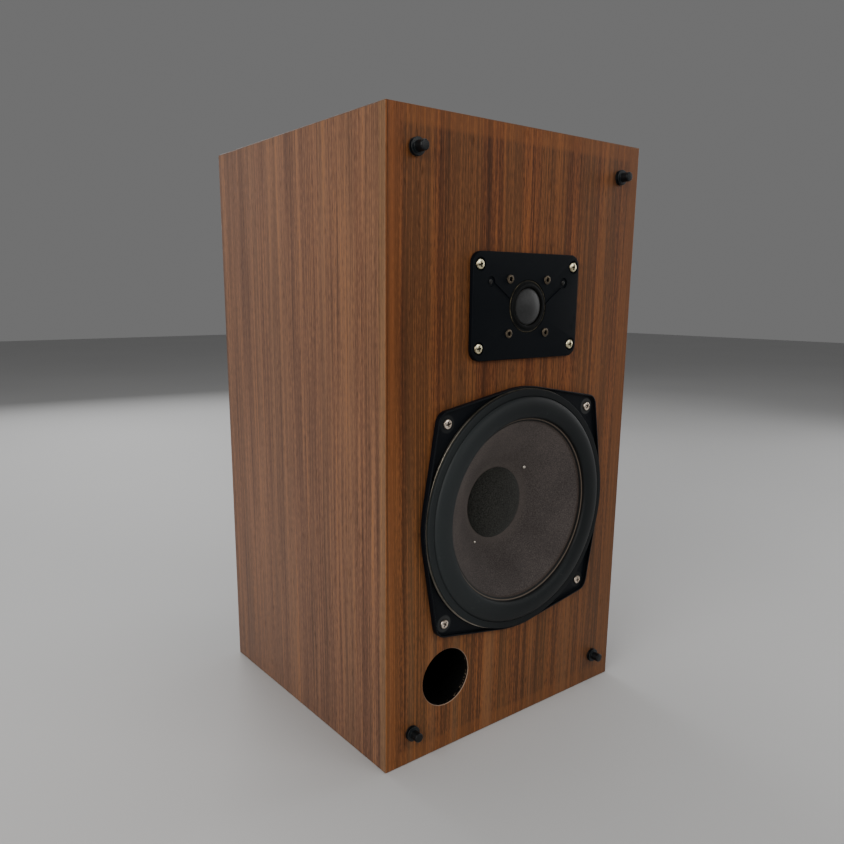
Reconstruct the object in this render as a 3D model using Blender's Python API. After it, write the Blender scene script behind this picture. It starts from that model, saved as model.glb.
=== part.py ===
"""A two-way ported bookshelf loudspeaker with a mitred wooden cabinet.

Metres, +Z up. The front faces -Y and X runs to the right as seen from in front. The origin is the centre of
the cabinet's flat bottom. Round pieces are turned about an axis along Y, and their profiles are lists of
(radius, depth), where depth is measured backwards from the front of the baffle.
"""
import math

import bmesh
import bpy
from mathutils import Vector

# Cabinet
CABINET_WIDTH = 0.266
CABINET_DEPTH = 0.252
CABINET_HEIGHT = 0.480
PANEL_THICKNESS = 0.018
BACK_THICKNESS = 0.015
BACK_INSET = 0.006
BRACE_THICKNESS = 0.018
BRACE_DEPTH = 0.060
TOUCH_GAP = 0.0003
LOOSE_GAP = 0.0006
PIN_CLEARANCE = 0.0001

# Places on the baffle
WOOFER_HEIGHT = 0.1875
DRIVER_SPACING = 0.1625
PORT_FROM_LEFT = 0.0596
PORT_HEIGHT = 0.0618
PEG_FROM_SIDE = 0.0248
PEG_FROM_END = 0.0261

# Woofer, from the outside in
CONE_RADIUS = 0.0737
SURROUND_WIDTH = 0.0193
GASKET_WIDTH = 0.0063
FRAME_RIM_WIDTH = 0.0012
FRAME_RIM_HEIGHT = 0.0046
FRAME_PLATE = 0.0018
EAR_RADIUS = 0.0102
EAR_BEYOND_RIM = 0.0098
BASKET_WALL = 0.0020
RIB_WIDTH = 0.016
BASKET_DEPTH = 0.058
SPIDER_SEAT_DEPTH = 0.046
SPIDER_SEAT_RADIUS = 0.053
CONE_SLOPE = 0.680
CONE_THICKNESS = 0.0009
DUST_CAP_RADIUS = 0.0302
DUST_CAP_RISE = 0.0070
ROLL_HEIGHT = 0.0048
VOICE_COIL_RADIUS = 0.0160
FORMER_WALL = 0.0006
COIL_BUILD = 0.0006
COIL_LENGTH = 0.012
AIR_GAP = 0.0008
TOP_PLATE_THICKNESS = 0.006
TOP_PLATE_RADIUS = 0.042
MAGNET_RADIUS = 0.045
MAGNET_THICKNESS = 0.018
BACK_PLATE_THICKNESS = 0.006
EYELET_RADIAL_PLACE = 0.0395
CONE_THROW = 0.005

# Tweeter
FACEPLATE_WIDTH = 0.1152
FACEPLATE_HEIGHT = 0.0796
FACEPLATE_THICKNESS = 0.0042
FACEPLATE_CORNER = 0.009
DOME_RADIUS = 0.0136
DOME_RISE = 0.0048
SUSPENSION_WIDTH = 0.0058
TWEETER_COIL_RADIUS = 0.0127
TWEETER_PLATE_RADIUS = 0.033
TWEETER_PLATE_THICKNESS = 0.004
TWEETER_MAGNET_RADIUS = 0.030
TWEETER_MAGNET_THICKNESS = 0.012
TWEETER_SCREW_X = 0.0507
TWEETER_SCREW_Z = 0.0304
RIVET_X = 0.0202
RIVET_Z = 0.0201
RIVET_HEAD_RADIUS = 0.0034
RIVET_BORE = 0.0016
TAB_X = 0.0398
TAB_Z = 0.0180
LEAD_GROOVE_WIDTH = 0.0026
LEAD_GROOVE_DEPTH = 0.0006
DOME_THROW = 0.0005

# Fasteners, port and pegs
SCREW_HEAD_RADIUS = 0.00375
SCREW_SHANK_RADIUS = 0.0018
SCREW_LENGTH = 0.014
PORT_RADIUS = 0.0236
PORT_WALL = 0.0016
PORT_LENGTH = 0.098
PORT_LIP = 0.0035
PEG_COLLAR_RADIUS = 0.0060
PEG_COLLAR_HEIGHT = 0.0034
PEG_RADIUS = 0.0037
PEG_HEIGHT = 0.0105
PEG_SHANK_RADIUS = 0.0030
PEG_SHANK_LENGTH = 0.010

# Terminal cup on the back
TERMINAL_HEIGHT = 0.150
CUP_HALF_WIDTH = 0.0275
CUP_HALF_HEIGHT = 0.0175
CUP_DEPTH = 0.019
CUP_WALL = 0.0022
CUP_FLANGE = 0.011
CUP_FLANGE_THICKNESS = 0.0025
LEVER_WIDTH = 0.0215
LEVER_SPACING = 0.0268
LEVER_REACH = 0.0140
LEVER_HUB_RADIUS = 0.0034
LEVER_PIN_RADIUS = 0.0012
LEVER_PIN_ABOVE_CENTRE = 0.0065
LEVER_PIN_FROM_FLOOR = 0.006
SPRING_WIDTH = 0.008
SPRING_THICKNESS = 0.0006
BOARD_WIDTH = 0.090
BOARD_HEIGHT = 0.064
BOARD_THICKNESS = 0.0016
CABLE_RADIUS = 0.0022
TINSEL_RADIUS = 0.0007
WADDING_THICKNESS = 0.040

# Worked out from the sizes above
FRONT = -CABINET_DEPTH / 2
BACK = CABINET_DEPTH / 2
HALF_WIDTH = CABINET_WIDTH / 2
INNER_HALF_WIDTH = HALF_WIDTH - PANEL_THICKNESS
TWEETER_HEIGHT = WOOFER_HEIGHT + DRIVER_SPACING
PORT_X = -HALF_WIDTH + PORT_FROM_LEFT
SURROUND_OUTER = CONE_RADIUS + SURROUND_WIDTH
GASKET_OUTER = SURROUND_OUTER + GASKET_WIDTH
FRAME_RADIUS = GASKET_OUTER + FRAME_RIM_WIDTH + 2 * TOUCH_GAP
EAR_OFFSET = (FRAME_RADIUS + EAR_BEYOND_RIM) / math.sqrt(2)
BASKET_MOUTH = SURROUND_OUTER - 0.0032
BASKET_BODY = BASKET_MOUTH + BASKET_WALL
WOOFER_HOLE = BASKET_BODY + LOOSE_GAP
FRAME_FACE = -TOUCH_GAP - FRAME_PLATE
FRAME_RIM_TOP = -TOUCH_GAP - FRAME_RIM_HEIGHT
FORMER_OUTER = VOICE_COIL_RADIUS + FORMER_WALL
COIL_OUTER = FORMER_OUTER + COIL_BUILD
POLE_RADIUS = VOICE_COIL_RADIUS - AIR_GAP
TOP_PLATE_BORE = COIL_OUTER + AIR_GAP
TOP_PLATE_FRONT = BASKET_DEPTH + TOUCH_GAP
TOP_PLATE_REAR = TOP_PLATE_FRONT + TOP_PLATE_THICKNESS
MAGNET_FRONT = TOP_PLATE_REAR + TOUCH_GAP
MAGNET_REAR = MAGNET_FRONT + MAGNET_THICKNESS
BACK_PLATE_FRONT = MAGNET_REAR + TOUCH_GAP
BACK_PLATE_REAR = BACK_PLATE_FRONT + BACK_PLATE_THICKNESS
CONE_EDGE_DEPTH = -0.0033
TWEETER_FORMER_OUTER = TWEETER_COIL_RADIUS + 0.0004
TWEETER_POLE = TWEETER_COIL_RADIUS - AIR_GAP
TWEETER_PLATE_BORE = TWEETER_FORMER_OUTER + AIR_GAP
TWEETER_HOLE = TWEETER_PLATE_RADIUS + 0.001
FACEPLATE_FACE = -FACEPLATE_THICKNESS
RECESS_RADIUS = DOME_RADIUS + SUSPENSION_WIDTH + LOOSE_GAP
RECESS_FLOOR = FACEPLATE_FACE + 0.0008
FACEPLATE_BORE = DOME_RADIUS + 0.0040
SCREW_HOLE = SCREW_SHANK_RADIUS + 0.0004
BACK_PANEL_OUTSIDE = BACK - BACK_INSET
BACK_PANEL_INSIDE = BACK_PANEL_OUTSIDE - BACK_THICKNESS
CUP_FLOOR = BACK_PANEL_OUTSIDE - CUP_DEPTH
CUP_BOTTOM = CUP_FLOOR - CUP_WALL
LEVER_PIN_Y = CUP_FLOOR + LEVER_PIN_FROM_FLOOR
LEVER_PIN_Z = TERMINAL_HEIGHT + LEVER_PIN_ABOVE_CENTRE
BOARD_FACE = CUP_BOTTOM - 0.014

# Colour, roughness and metallic value of each finish
FINISHES = {
    "walnut veneer": ((0.19, 0.085, 0.045), 0.45, 0.0),
    "black board": ((0.015, 0.015, 0.016), 0.75, 0.0),
    "black plastic": ((0.012, 0.013, 0.015), 0.45, 0.0),
    "black painted metal": ((0.008, 0.010, 0.013), 0.40, 0.0),
    "nickel": ((0.62, 0.58, 0.52), 0.28, 1.0),
    "bare metal": ((0.50, 0.48, 0.45), 0.40, 1.0),
    "zinc plated steel": ((0.42, 0.42, 0.40), 0.35, 1.0),
    "ferrite": ((0.035, 0.035, 0.037), 0.60, 0.0),
    "black rubber": ((0.022, 0.023, 0.024), 0.55, 0.0),
    "cone paper": ((0.055, 0.048, 0.044), 0.90, 0.0),
    "flocked fabric": ((0.020, 0.021, 0.019), 1.0, 0.0),
    "dome fabric": ((0.030, 0.030, 0.031), 0.75, 0.0),
    "spider cloth": ((0.45, 0.28, 0.10), 0.90, 0.0),
    "copper": ((0.70, 0.30, 0.16), 0.35, 1.0),
    "brass": ((0.45, 0.33, 0.16), 0.35, 1.0),
    "red plastic": ((0.45, 0.02, 0.02), 0.40, 0.0),
    "circuit board": ((0.10, 0.13, 0.05), 0.60, 0.0),
    "yellow film": ((0.60, 0.42, 0.08), 0.45, 0.0),
    "cable jacket": ((0.03, 0.03, 0.03), 0.60, 0.0),
    "polyester wool": ((0.75, 0.74, 0.70), 1.0, 0.0),
}


def finish(name):
    """The material of a named finish, made the first time it is asked for."""
    made = bpy.data.materials.get(name)
    if made is None:
        colour, roughness, metallic = FINISHES[name]
        made = bpy.data.materials.new(name)
        made.use_nodes = True
        shader = made.node_tree.nodes["Principled BSDF"]
        shader.inputs["Base Color"].default_value = (*colour, 1.0)
        shader.inputs["Roughness"].default_value = roughness
        shader.inputs["Metallic"].default_value = metallic
        made.diffuse_color = (*colour, 1.0)
    return made


def place(name, bm, look, location=(0, 0, 0), smooth=False):
    """Turn a bmesh into a named object with its finish, at its location."""
    bmesh.ops.recalc_face_normals(bm, faces=bm.faces)
    mesh = bpy.data.meshes.new(name)
    bm.to_mesh(mesh)
    bm.free()
    if smooth:
        mesh.shade_smooth()
        mesh.set_sharp_from_angle(angle=math.radians(35))
    piece = bpy.data.objects.new(name, mesh)
    piece.location = location
    if look:
        mesh.materials.append(finish(look))
    bpy.context.scene.collection.objects.link(piece)
    return piece


def skin(bm, loops, around=True, along=False, caps=False):
    """Faces between successive loops of points; along joins the last to the first, caps fills both ends."""
    rings = [[bm.verts.new(point) for point in loop] for loop in loops]
    pairs = list(zip(rings, rings[1:]))
    if along:
        pairs.append((rings[-1], rings[0]))
    for first, second in pairs:
        count = max(len(first), len(second))
        steps = count if around else count - 1
        for i in range(steps):
            j = (i + 1) % count
            if len(first) == 1:
                bm.faces.new((first[0], second[i], second[j]))
            elif len(second) == 1:
                bm.faces.new((first[i], second[0], first[j]))
            else:
                bm.faces.new((first[i], second[i], second[j], first[j]))
    if caps:
        bm.faces.new(rings[0])
        bm.faces.new(rings[-1])


def circle(radius, depth, angles):
    """Points of a circle about the Y axis; a radius of zero gives one point."""
    if radius == 0:
        return [(0.0, depth, 0.0)]
    return [(radius * math.cos(a), depth, radius * math.sin(a)) for a in angles]


def even_angles(count):
    return [2 * math.pi * i / count for i in range(count)]


def turned(name, profile, look, centre, count=32, ring=True):
    """A piece turned about an axis along Y at centre (x, z). A ring's profile closes on itself."""
    bm = bmesh.new()
    angles = even_angles(count)
    skin(bm, [circle(radius, depth, angles) for radius, depth in profile], along=ring)
    return place(name, bm, look, (centre[0], FRONT, centre[1]), smooth=True)


def block(name, low, high, look):
    """A plain box between two corners, with its origin at its centre."""
    middle = (Vector(low) + Vector(high)) / 2
    half = (Vector(high) - Vector(low)) / 2
    bm = bmesh.new()
    bmesh.ops.create_cube(bm, size=2.0)
    bmesh.ops.scale(bm, vec=half, verts=bm.verts)
    return place(name, bm, look, middle)


def frustum(name, outer, inner, look):
    """A mitred panel: its outer rectangle joined to its smaller inner one, four corner points each."""
    bm = bmesh.new()
    skin(bm, [outer, inner], caps=True)
    return place(name, bm, look)


def cut(target, cutter):
    """Subtract a cutter, which stays in the scene as a hidden wire shape."""
    cutter.hide_render = True
    cutter.display_type = "WIRE"
    step = target.modifiers.new(cutter.name, "BOOLEAN")
    step.operation = "DIFFERENCE"
    step.solver = "EXACT"
    step.object = cutter


def bore(target, name, centre, radius, start, end, count=16):
    """Cut a round hole along Y through target, from depth start to depth end."""
    profile = [(0, start), (radius, start), (radius, end), (0, end)]
    cut(target, turned(name, profile, None, centre, count, ring=False))


def slot(target, name, low, high):
    """Cut a box-shaped hole through target."""
    cut(target, block(name, low, high, None))


def ear_outline(ring_radius, ear_offset, ear_radius, ear_steps=5, line_steps=4, side_steps=3):
    """A circle with four corner ears, each an arc round its screw, joined by common tangents."""
    reach = ear_offset * math.sqrt(2)
    lean = math.acos((ring_radius - ear_radius) / reach)
    quarter_turn = math.pi / 2
    points = []
    for quarter in range(4):
        middle = quarter_turn * (quarter + 0.5)
        ear = Vector((reach * math.cos(middle), reach * math.sin(middle)))
        for step in range(ear_steps + 1):
            a = middle - lean + 2 * lean * step / ear_steps
            points.append(ear + ear_radius * Vector((math.cos(a), math.sin(a))))
        leaving = middle + lean
        ear_end = ear + ear_radius * Vector((math.cos(leaving), math.sin(leaving)))
        ring_start = ring_radius * Vector((math.cos(leaving), math.sin(leaving)))
        for step in range(1, line_steps):
            points.append(ear_end.lerp(ring_start, step / line_steps))
        for step in range(side_steps + 1):
            a = leaving + (quarter_turn - 2 * lean) * step / side_steps
            points.append(ring_radius * Vector((math.cos(a), math.sin(a))))
        arriving = middle + quarter_turn - lean
        ring_end = ring_radius * Vector((math.cos(arriving), math.sin(arriving)))
        next_middle = middle + quarter_turn
        next_ear = Vector((reach * math.cos(next_middle), reach * math.sin(next_middle)))
        ear_start = next_ear + ear_radius * Vector((math.cos(arriving), math.sin(arriving)))
        for step in range(1, line_steps):
            points.append(ring_end.lerp(ear_start, step / line_steps))
    return [(point.x, point.y) for point in points]


def rounded_rectangle(half_width, half_height, radius, corner_steps=6):
    """Corner arcs joined by straight sides, counter-clockwise from the right."""
    points = []
    for quarter in range(4):
        start = quarter * math.pi / 2
        middle = start + math.pi / 4
        x = math.copysign(half_width - radius, math.cos(middle))
        z = math.copysign(half_height - radius, math.sin(middle))
        for step in range(corner_steps + 1):
            a = start + math.pi / 2 * step / corner_steps
            points.append((x + radius * math.cos(a), z + radius * math.sin(a)))
    return points


def at_depth(outline, depth):
    return [(x, depth, z) for x, z in outline]


# ---------------------------------------------------------------- cabinet

def cabinet():
    """Five mitred panels, the inset back and the brace."""
    shift = TOUCH_GAP / math.sqrt(2)
    outer_x = HALF_WIDTH - shift
    inner_x = INNER_HALF_WIDTH - shift
    low_out = shift
    low_in = PANEL_THICKNESS + shift
    high_out = CABINET_HEIGHT - shift
    high_in = CABINET_HEIGHT - PANEL_THICKNESS - shift
    front_out = FRONT + shift
    front_in = FRONT + PANEL_THICKNESS + shift

    def upright(x, z_low, z_high, y):
        return [(-x, y, z_low), (x, y, z_low), (x, y, z_high), (-x, y, z_high)]

    baffle = frustum(
        "front_baffle",
        upright(outer_x, low_out, high_out, FRONT),
        upright(inner_x, low_in, high_in, FRONT + PANEL_THICKNESS),
        "walnut veneer",
    )

    def side_face(x, y_front, z_low, z_high):
        return [(x, y_front, z_low), (x, BACK, z_low), (x, BACK, z_high), (x, y_front, z_high)]

    for name, side in (("left_side_panel", -1), ("right_side_panel", 1)):
        frustum(
            name,
            side_face(side * HALF_WIDTH, front_out, low_out, high_out),
            side_face(side * INNER_HALF_WIDTH, front_in, low_in, high_in),
            "walnut veneer",
        )

    def level_face(z, x, y_front):
        return [(-x, y_front, z), (x, y_front, z), (x, BACK, z), (-x, BACK, z)]

    for name, outside, inside in (
        ("top_panel", CABINET_HEIGHT, CABINET_HEIGHT - PANEL_THICKNESS),
        ("bottom_panel", 0.0, PANEL_THICKNESS),
    ):
        frustum(
            name,
            level_face(outside, outer_x, front_out),
            level_face(inside, inner_x, front_in),
            "walnut veneer",
        )

    fit_x = INNER_HALF_WIDTH - TOUCH_GAP
    back = block(
        "back_panel",
        (-fit_x, BACK_PANEL_INSIDE, PANEL_THICKNESS + TOUCH_GAP),
        (fit_x, BACK_PANEL_OUTSIDE, CABINET_HEIGHT - PANEL_THICKNESS - TOUCH_GAP),
        "black board",
    )
    opening_x = CUP_HALF_WIDTH + CUP_WALL + LOOSE_GAP
    opening_z = CUP_HALF_HEIGHT + CUP_WALL + LOOSE_GAP
    slot(
        back,
        "terminal_cutout",
        (-opening_x, BACK_PANEL_INSIDE - 0.01, TERMINAL_HEIGHT - opening_z),
        (opening_x, BACK + 0.01, TERMINAL_HEIGHT + opening_z),
    )
    brace_middle = (WOOFER_HEIGHT + TWEETER_HEIGHT) / 2 + 0.028
    block(
        "cross_brace",
        (-fit_x, -BRACE_DEPTH / 2, brace_middle - BRACE_THICKNESS / 2),
        (fit_x, BRACE_DEPTH / 2, brace_middle + BRACE_THICKNESS / 2),
        "black board",
    )
    return baffle


def baffle_holes(baffle):
    """The driver, port, peg and screw holes."""
    through = PANEL_THICKNESS + 0.01
    bore(baffle, "woofer_hole", (0, WOOFER_HEIGHT), WOOFER_HOLE, -0.01, through, 56)
    bore(baffle, "tweeter_hole", (0, TWEETER_HEIGHT), TWEETER_HOLE, -0.01, through, 40)
    for side in (-1, 1):
        name = "tweeter_notch_left" if side < 0 else "tweeter_notch_right"
        centre = (side * TAB_X, TWEETER_HEIGHT + TAB_Z)
        bore(baffle, name, centre, TAB_X - TWEETER_HOLE + 0.0075, -0.01, through, 16)
    bore(baffle, "port_hole", (PORT_X, PORT_HEIGHT), PORT_RADIUS, -0.01, through, 40)
    tube_seat = PORT_RADIUS + PORT_WALL + TOUCH_GAP
    bore(baffle, "port_seat", (PORT_X, PORT_HEIGHT), tube_seat, PORT_LIP, through, 40)
    for name, centre in peg_places():
        deep = PEG_SHANK_LENGTH + LOOSE_GAP
        bore(baffle, "hole_for_" + name, centre, PEG_SHANK_RADIUS + TOUCH_GAP, -0.01, deep, 12)
    for name, centre, _ in screw_places():
        bore(baffle, "hole_for_" + name, centre, SCREW_HOLE, -0.01, SCREW_LENGTH + LOOSE_GAP, 10)


def peg_places():
    """The four pegs, one near each corner."""
    places = []
    for vertical, z in (("top", CABINET_HEIGHT - PEG_FROM_END), ("bottom", PEG_FROM_END)):
        for side, x in (("left", PEG_FROM_SIDE - HALF_WIDTH), ("right", HALF_WIDTH - PEG_FROM_SIDE)):
            places.append((f"grille_peg_{vertical}_{side}", (x, z)))
    return places


def screw_places():
    """Each driver's four screws: name, place and the depth of the face that the head sits on."""
    rows = (
        ("woofer", WOOFER_HEIGHT, EAR_OFFSET, EAR_OFFSET, FRAME_FACE),
        ("tweeter", TWEETER_HEIGHT, TWEETER_SCREW_X, TWEETER_SCREW_Z, FACEPLATE_FACE + 0.0012),
    )
    places = []
    for driver, middle, reach_x, reach_z, seat in rows:
        for vertical, up in (("top", 1), ("bottom", -1)):
            for side, across in (("left", -1), ("right", 1)):
                centre = (across * reach_x, middle + up * reach_z)
                places.append((f"{driver}_screw_{vertical}_{side}", centre, seat))
    return places


def fasteners():
    """Grille pegs with a two-disc collar, and the pan-head screws."""
    groove = PEG_COLLAR_RADIUS - 0.0008
    first = -0.0014
    second = -0.0020
    tip = PEG_RADIUS - 0.0009
    peg_profile = [
        (0, PEG_SHANK_LENGTH),
        (PEG_SHANK_RADIUS - 0.0008, PEG_SHANK_LENGTH),
        (PEG_SHANK_RADIUS, PEG_SHANK_LENGTH - 0.001),
        (PEG_SHANK_RADIUS, -TOUCH_GAP),
        (PEG_COLLAR_RADIUS, -TOUCH_GAP),
        (PEG_COLLAR_RADIUS, first),
        (groove, first),
        (groove, second),
        (PEG_COLLAR_RADIUS, second),
        (PEG_COLLAR_RADIUS, -PEG_COLLAR_HEIGHT + 0.0003),
        (PEG_COLLAR_RADIUS - 0.0003, -PEG_COLLAR_HEIGHT),
        (PEG_RADIUS, -PEG_COLLAR_HEIGHT),
        (PEG_RADIUS, -PEG_HEIGHT + 0.0012),
        (tip, -PEG_HEIGHT),
        (0, -PEG_HEIGHT),
    ]
    for name, centre in peg_places():
        turned(name, peg_profile, "black plastic", centre, 14, ring=False)
    for name, centre, seat in screw_places():
        under = seat - TOUCH_GAP
        screw_profile = [
            (0, SCREW_LENGTH),
            (SCREW_SHANK_RADIUS, SCREW_LENGTH - 0.003),
            (SCREW_SHANK_RADIUS, under),
            (SCREW_HEAD_RADIUS, under),
            (SCREW_HEAD_RADIUS, under - 0.0005),
            (SCREW_HEAD_RADIUS * 0.85, under - 0.0010),
            (SCREW_HEAD_RADIUS * 0.45, under - 0.0014),
            (0, under - 0.0016),
        ]
        turned(name, screw_profile, "nickel", centre, 12, ring=False)


def port():
    outer = PORT_RADIUS + PORT_WALL
    front = PORT_LIP + TOUCH_GAP
    rear = front + PORT_LENGTH
    profile = [(PORT_RADIUS, front), (outer, front), (outer, rear), (PORT_RADIUS, rear)]
    turned("port_tube", profile, "black plastic", (PORT_X, PORT_HEIGHT), 40)


# ---------------------------------------------------------------- woofer

def cone_depth(radius):
    """Depth of the cone's front surface at a radius."""
    return CONE_EDGE_DEPTH + (CONE_RADIUS - radius) * CONE_SLOPE


def woofer_frame():
    """The basket: a flat plate with ears and a raised rim, then a ribbed bowl down to the magnet."""
    outside = ear_outline(FRAME_RADIUS, EAR_OFFSET, EAR_RADIUS)
    softened = ear_outline(FRAME_RADIUS - 0.0005, EAR_OFFSET, EAR_RADIUS - 0.0005)
    inside = ear_outline(FRAME_RADIUS - FRAME_RIM_WIDTH, EAR_OFFSET, EAR_RADIUS - FRAME_RIM_WIDTH)
    angles = [math.atan2(z, x) for x, z in outside]
    seat_back = SPIDER_SEAT_DEPTH + BASKET_WALL
    waist = SPIDER_SEAT_RADIUS - 0.009
    magnet_hole = TOP_PLATE_BORE + 0.006
    back = -TOUCH_GAP
    loops = [
        at_depth(outside, back),
        at_depth(outside, FRAME_RIM_TOP + 0.0005),
        at_depth(softened, FRAME_RIM_TOP),
        at_depth(inside, FRAME_RIM_TOP),
        at_depth(inside, FRAME_FACE),
    ]
    bowl = (
        (BASKET_MOUTH, FRAME_FACE),
        (BASKET_MOUTH, 0.012),
        (SPIDER_SEAT_RADIUS, SPIDER_SEAT_DEPTH),
        (waist, SPIDER_SEAT_DEPTH),
        (waist, BASKET_DEPTH - BASKET_WALL),
        (magnet_hole, BASKET_DEPTH - BASKET_WALL),
        (magnet_hole, BASKET_DEPTH),
        (waist + BASKET_WALL, BASKET_DEPTH),
        (waist + BASKET_WALL, seat_back),
        (SPIDER_SEAT_RADIUS + 0.0015, seat_back),
        (BASKET_BODY, 0.0134),
        (BASKET_BODY, back),
    )
    loops.extend(circle(radius, depth, angles) for radius, depth in bowl)
    bm = bmesh.new()
    skin(bm, loops, along=True)
    basket = place("woofer_basket", bm, "black painted metal", (0, FRONT, WOOFER_HEIGHT), smooth=True)
    window_front = 0.018
    window_back = SPIDER_SEAT_DEPTH - 0.004
    near = SPIDER_SEAT_RADIUS - 0.004
    far = BASKET_BODY + 0.01
    apex = RIB_WIDTH / math.sqrt(2)
    for number in range(4):
        turn = number * math.pi / 2
        corners = []
        for along, across in ((near, apex - near), (far, apex - far), (far, far - apex), (near, near - apex)):
            x = along * math.cos(turn) - across * math.sin(turn)
            z = along * math.sin(turn) + across * math.cos(turn)
            corners.append((x, z))
        wedge = bmesh.new()
        skin(wedge, [at_depth(corners, window_front), at_depth(corners, window_back)], caps=True)
        cutter = place(f"basket_window_{number}", wedge, None, (0, FRONT, WOOFER_HEIGHT))
        cut(basket, cutter)
    for name, centre, _ in screw_places():
        if name.startswith("woofer"):
            bore(basket, "frame_" + name, centre, SCREW_HOLE, -0.01, 0.004, 10)


def woofer_front():
    """The bare ring, the gasket and the rubber surround, which all sit inside the frame's rim."""
    centre = (0, WOOFER_HEIGHT)
    ring_back = FRAME_FACE - TOUCH_GAP
    ring_top = ring_back - 0.0020
    ring_outer = GASKET_OUTER + TOUCH_GAP
    ring_inner = BASKET_MOUTH + 0.0005
    ring = [(ring_inner, ring_back), (ring_outer, ring_back), (ring_outer, ring_top), (ring_inner, ring_top)]
    turned("woofer_trim_ring", ring, "bare metal", centre, 56)

    lip_back = ring_top - TOUCH_GAP
    lip_front = lip_back - 0.0007
    lip_outer = GASKET_OUTER - 0.0008
    gasket_back = lip_front - TOUCH_GAP
    gasket_top = gasket_back - 0.0012
    gasket_inner = SURROUND_OUTER + 0.0006
    gasket = [
        (gasket_inner, gasket_back),
        (GASKET_OUTER, gasket_back),
        (GASKET_OUTER, gasket_top + 0.0003),
        (GASKET_OUTER - 0.0003, gasket_top),
        (gasket_inner, gasket_top),
    ]
    turned("woofer_gasket", gasket, "black rubber", centre, 48)

    thickness = 0.0007
    foot_out = SURROUND_OUTER - 0.0002
    foot_in = CONE_RADIUS + 0.0024
    lip_in_depth = cone_depth(CONE_RADIUS) - TOUCH_GAP
    foot_in_depth = cone_depth(foot_in) - TOUCH_GAP
    middle = (foot_out + foot_in) / 2
    half = (foot_out - foot_in) / 2
    base = (lip_back + foot_in_depth) / 2
    steps = 7
    front = [(lip_outer, lip_front), (foot_out, lip_front)]
    back = [(lip_outer, lip_back), (foot_out, lip_back)]
    for step in range(1, steps):
        a = math.pi * step / steps
        tilt = (lip_back - foot_in_depth) / 2 * math.cos(a)
        radius = middle + half * math.cos(a)
        front.append((radius, base + tilt - thickness - ROLL_HEIGHT * math.sin(a)))
        back.append((middle + (half - thickness) * math.cos(a), base + tilt - ROLL_HEIGHT * math.sin(a)))
    front.append((foot_in, foot_in_depth - thickness))
    back.append((foot_in, foot_in_depth))
    front.append((CONE_RADIUS, lip_in_depth - thickness))
    back.append((CONE_RADIUS, lip_in_depth))
    turned("woofer_surround", front + back[::-1], "black rubber", centre, 40)


def woofer_cone_group():
    """What slides: the cone, the dust cap, the two eyelets and the voice coil."""
    centre = (0, WOOFER_HEIGHT)
    drop = CONE_THICKNESS * math.hypot(1, CONE_SLOPE)
    rim = CONE_RADIUS + 0.0020
    neck = FORMER_OUTER + TOUCH_GAP
    cone = [
        (rim, cone_depth(rim)),
        (neck, cone_depth(neck)),
        (neck, cone_depth(neck) + drop),
        (rim, cone_depth(rim) + drop),
    ]
    turned("woofer_cone", cone, "cone paper", centre, 48)

    base = cone_depth(DUST_CAP_RADIUS) - 0.0005
    cap_radius = (DUST_CAP_RADIUS ** 2 + DUST_CAP_RISE ** 2) / (2 * DUST_CAP_RISE)
    spread = math.asin(DUST_CAP_RADIUS / cap_radius)
    wall = 0.0007
    steps = 4
    outer = []
    inner = []
    for step in range(steps + 1):
        a = spread * step / steps
        outer.append((cap_radius * math.sin(a), base + cap_radius * (math.cos(spread) - math.cos(a))))
        flat = (cap_radius - wall) * math.sin(a)
        inner.append((flat, base + cap_radius * math.cos(spread) - (cap_radius - wall) * math.cos(a)))
    turned("woofer_dust_cap", outer + inner[::-1], "flocked fabric", centre, 28, ring=False)

    former_front = cone_depth(FORMER_OUTER) - 0.0015
    coil_middle = TOP_PLATE_FRONT + TOP_PLATE_THICKNESS / 2
    coil_front = coil_middle - COIL_LENGTH / 2
    coil_rear = coil_middle + COIL_LENGTH / 2
    coil = [
        (VOICE_COIL_RADIUS, former_front),
        (FORMER_OUTER, former_front),
        (FORMER_OUTER, coil_front),
        (COIL_OUTER, coil_front),
        (COIL_OUTER, coil_rear),
        (FORMER_OUTER, coil_rear),
        (FORMER_OUTER, coil_rear + 0.001),
        (VOICE_COIL_RADIUS, coil_rear + 0.001),
    ]
    turned("woofer_voice_coil", coil, "copper", centre, 24)

    lean = math.atan(CONE_SLOPE)
    sits = TOUCH_GAP * math.hypot(1, CONE_SLOPE)
    for name, side in (("cone_eyelet_upper", 1), ("cone_eyelet_lower", -1)):
        bm = bmesh.new()
        angles = even_angles(12)
        profile = ((0, 0.0), (0.0014, 0.0), (0.0014, -0.0005), (0.0009, -0.0011), (0, -0.0013))
        skin(bm, [circle(radius, depth, angles) for radius, depth in profile])
        place_on_axis = side * EYELET_RADIAL_PLACE / math.sqrt(2)
        depth = cone_depth(EYELET_RADIAL_PLACE) - sits
        eyelet = place(name, bm, "nickel", smooth=True)
        normal = Vector((-side * math.sin(lean) / math.sqrt(2), -math.cos(lean), -side * math.sin(lean) / math.sqrt(2)))
        eyelet.rotation_mode = "QUATERNION"
        eyelet.rotation_quaternion = Vector((0, -1, 0)).rotation_difference(normal)
        eyelet.location = (place_on_axis, FRONT + depth, WOOFER_HEIGHT + place_on_axis)


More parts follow.
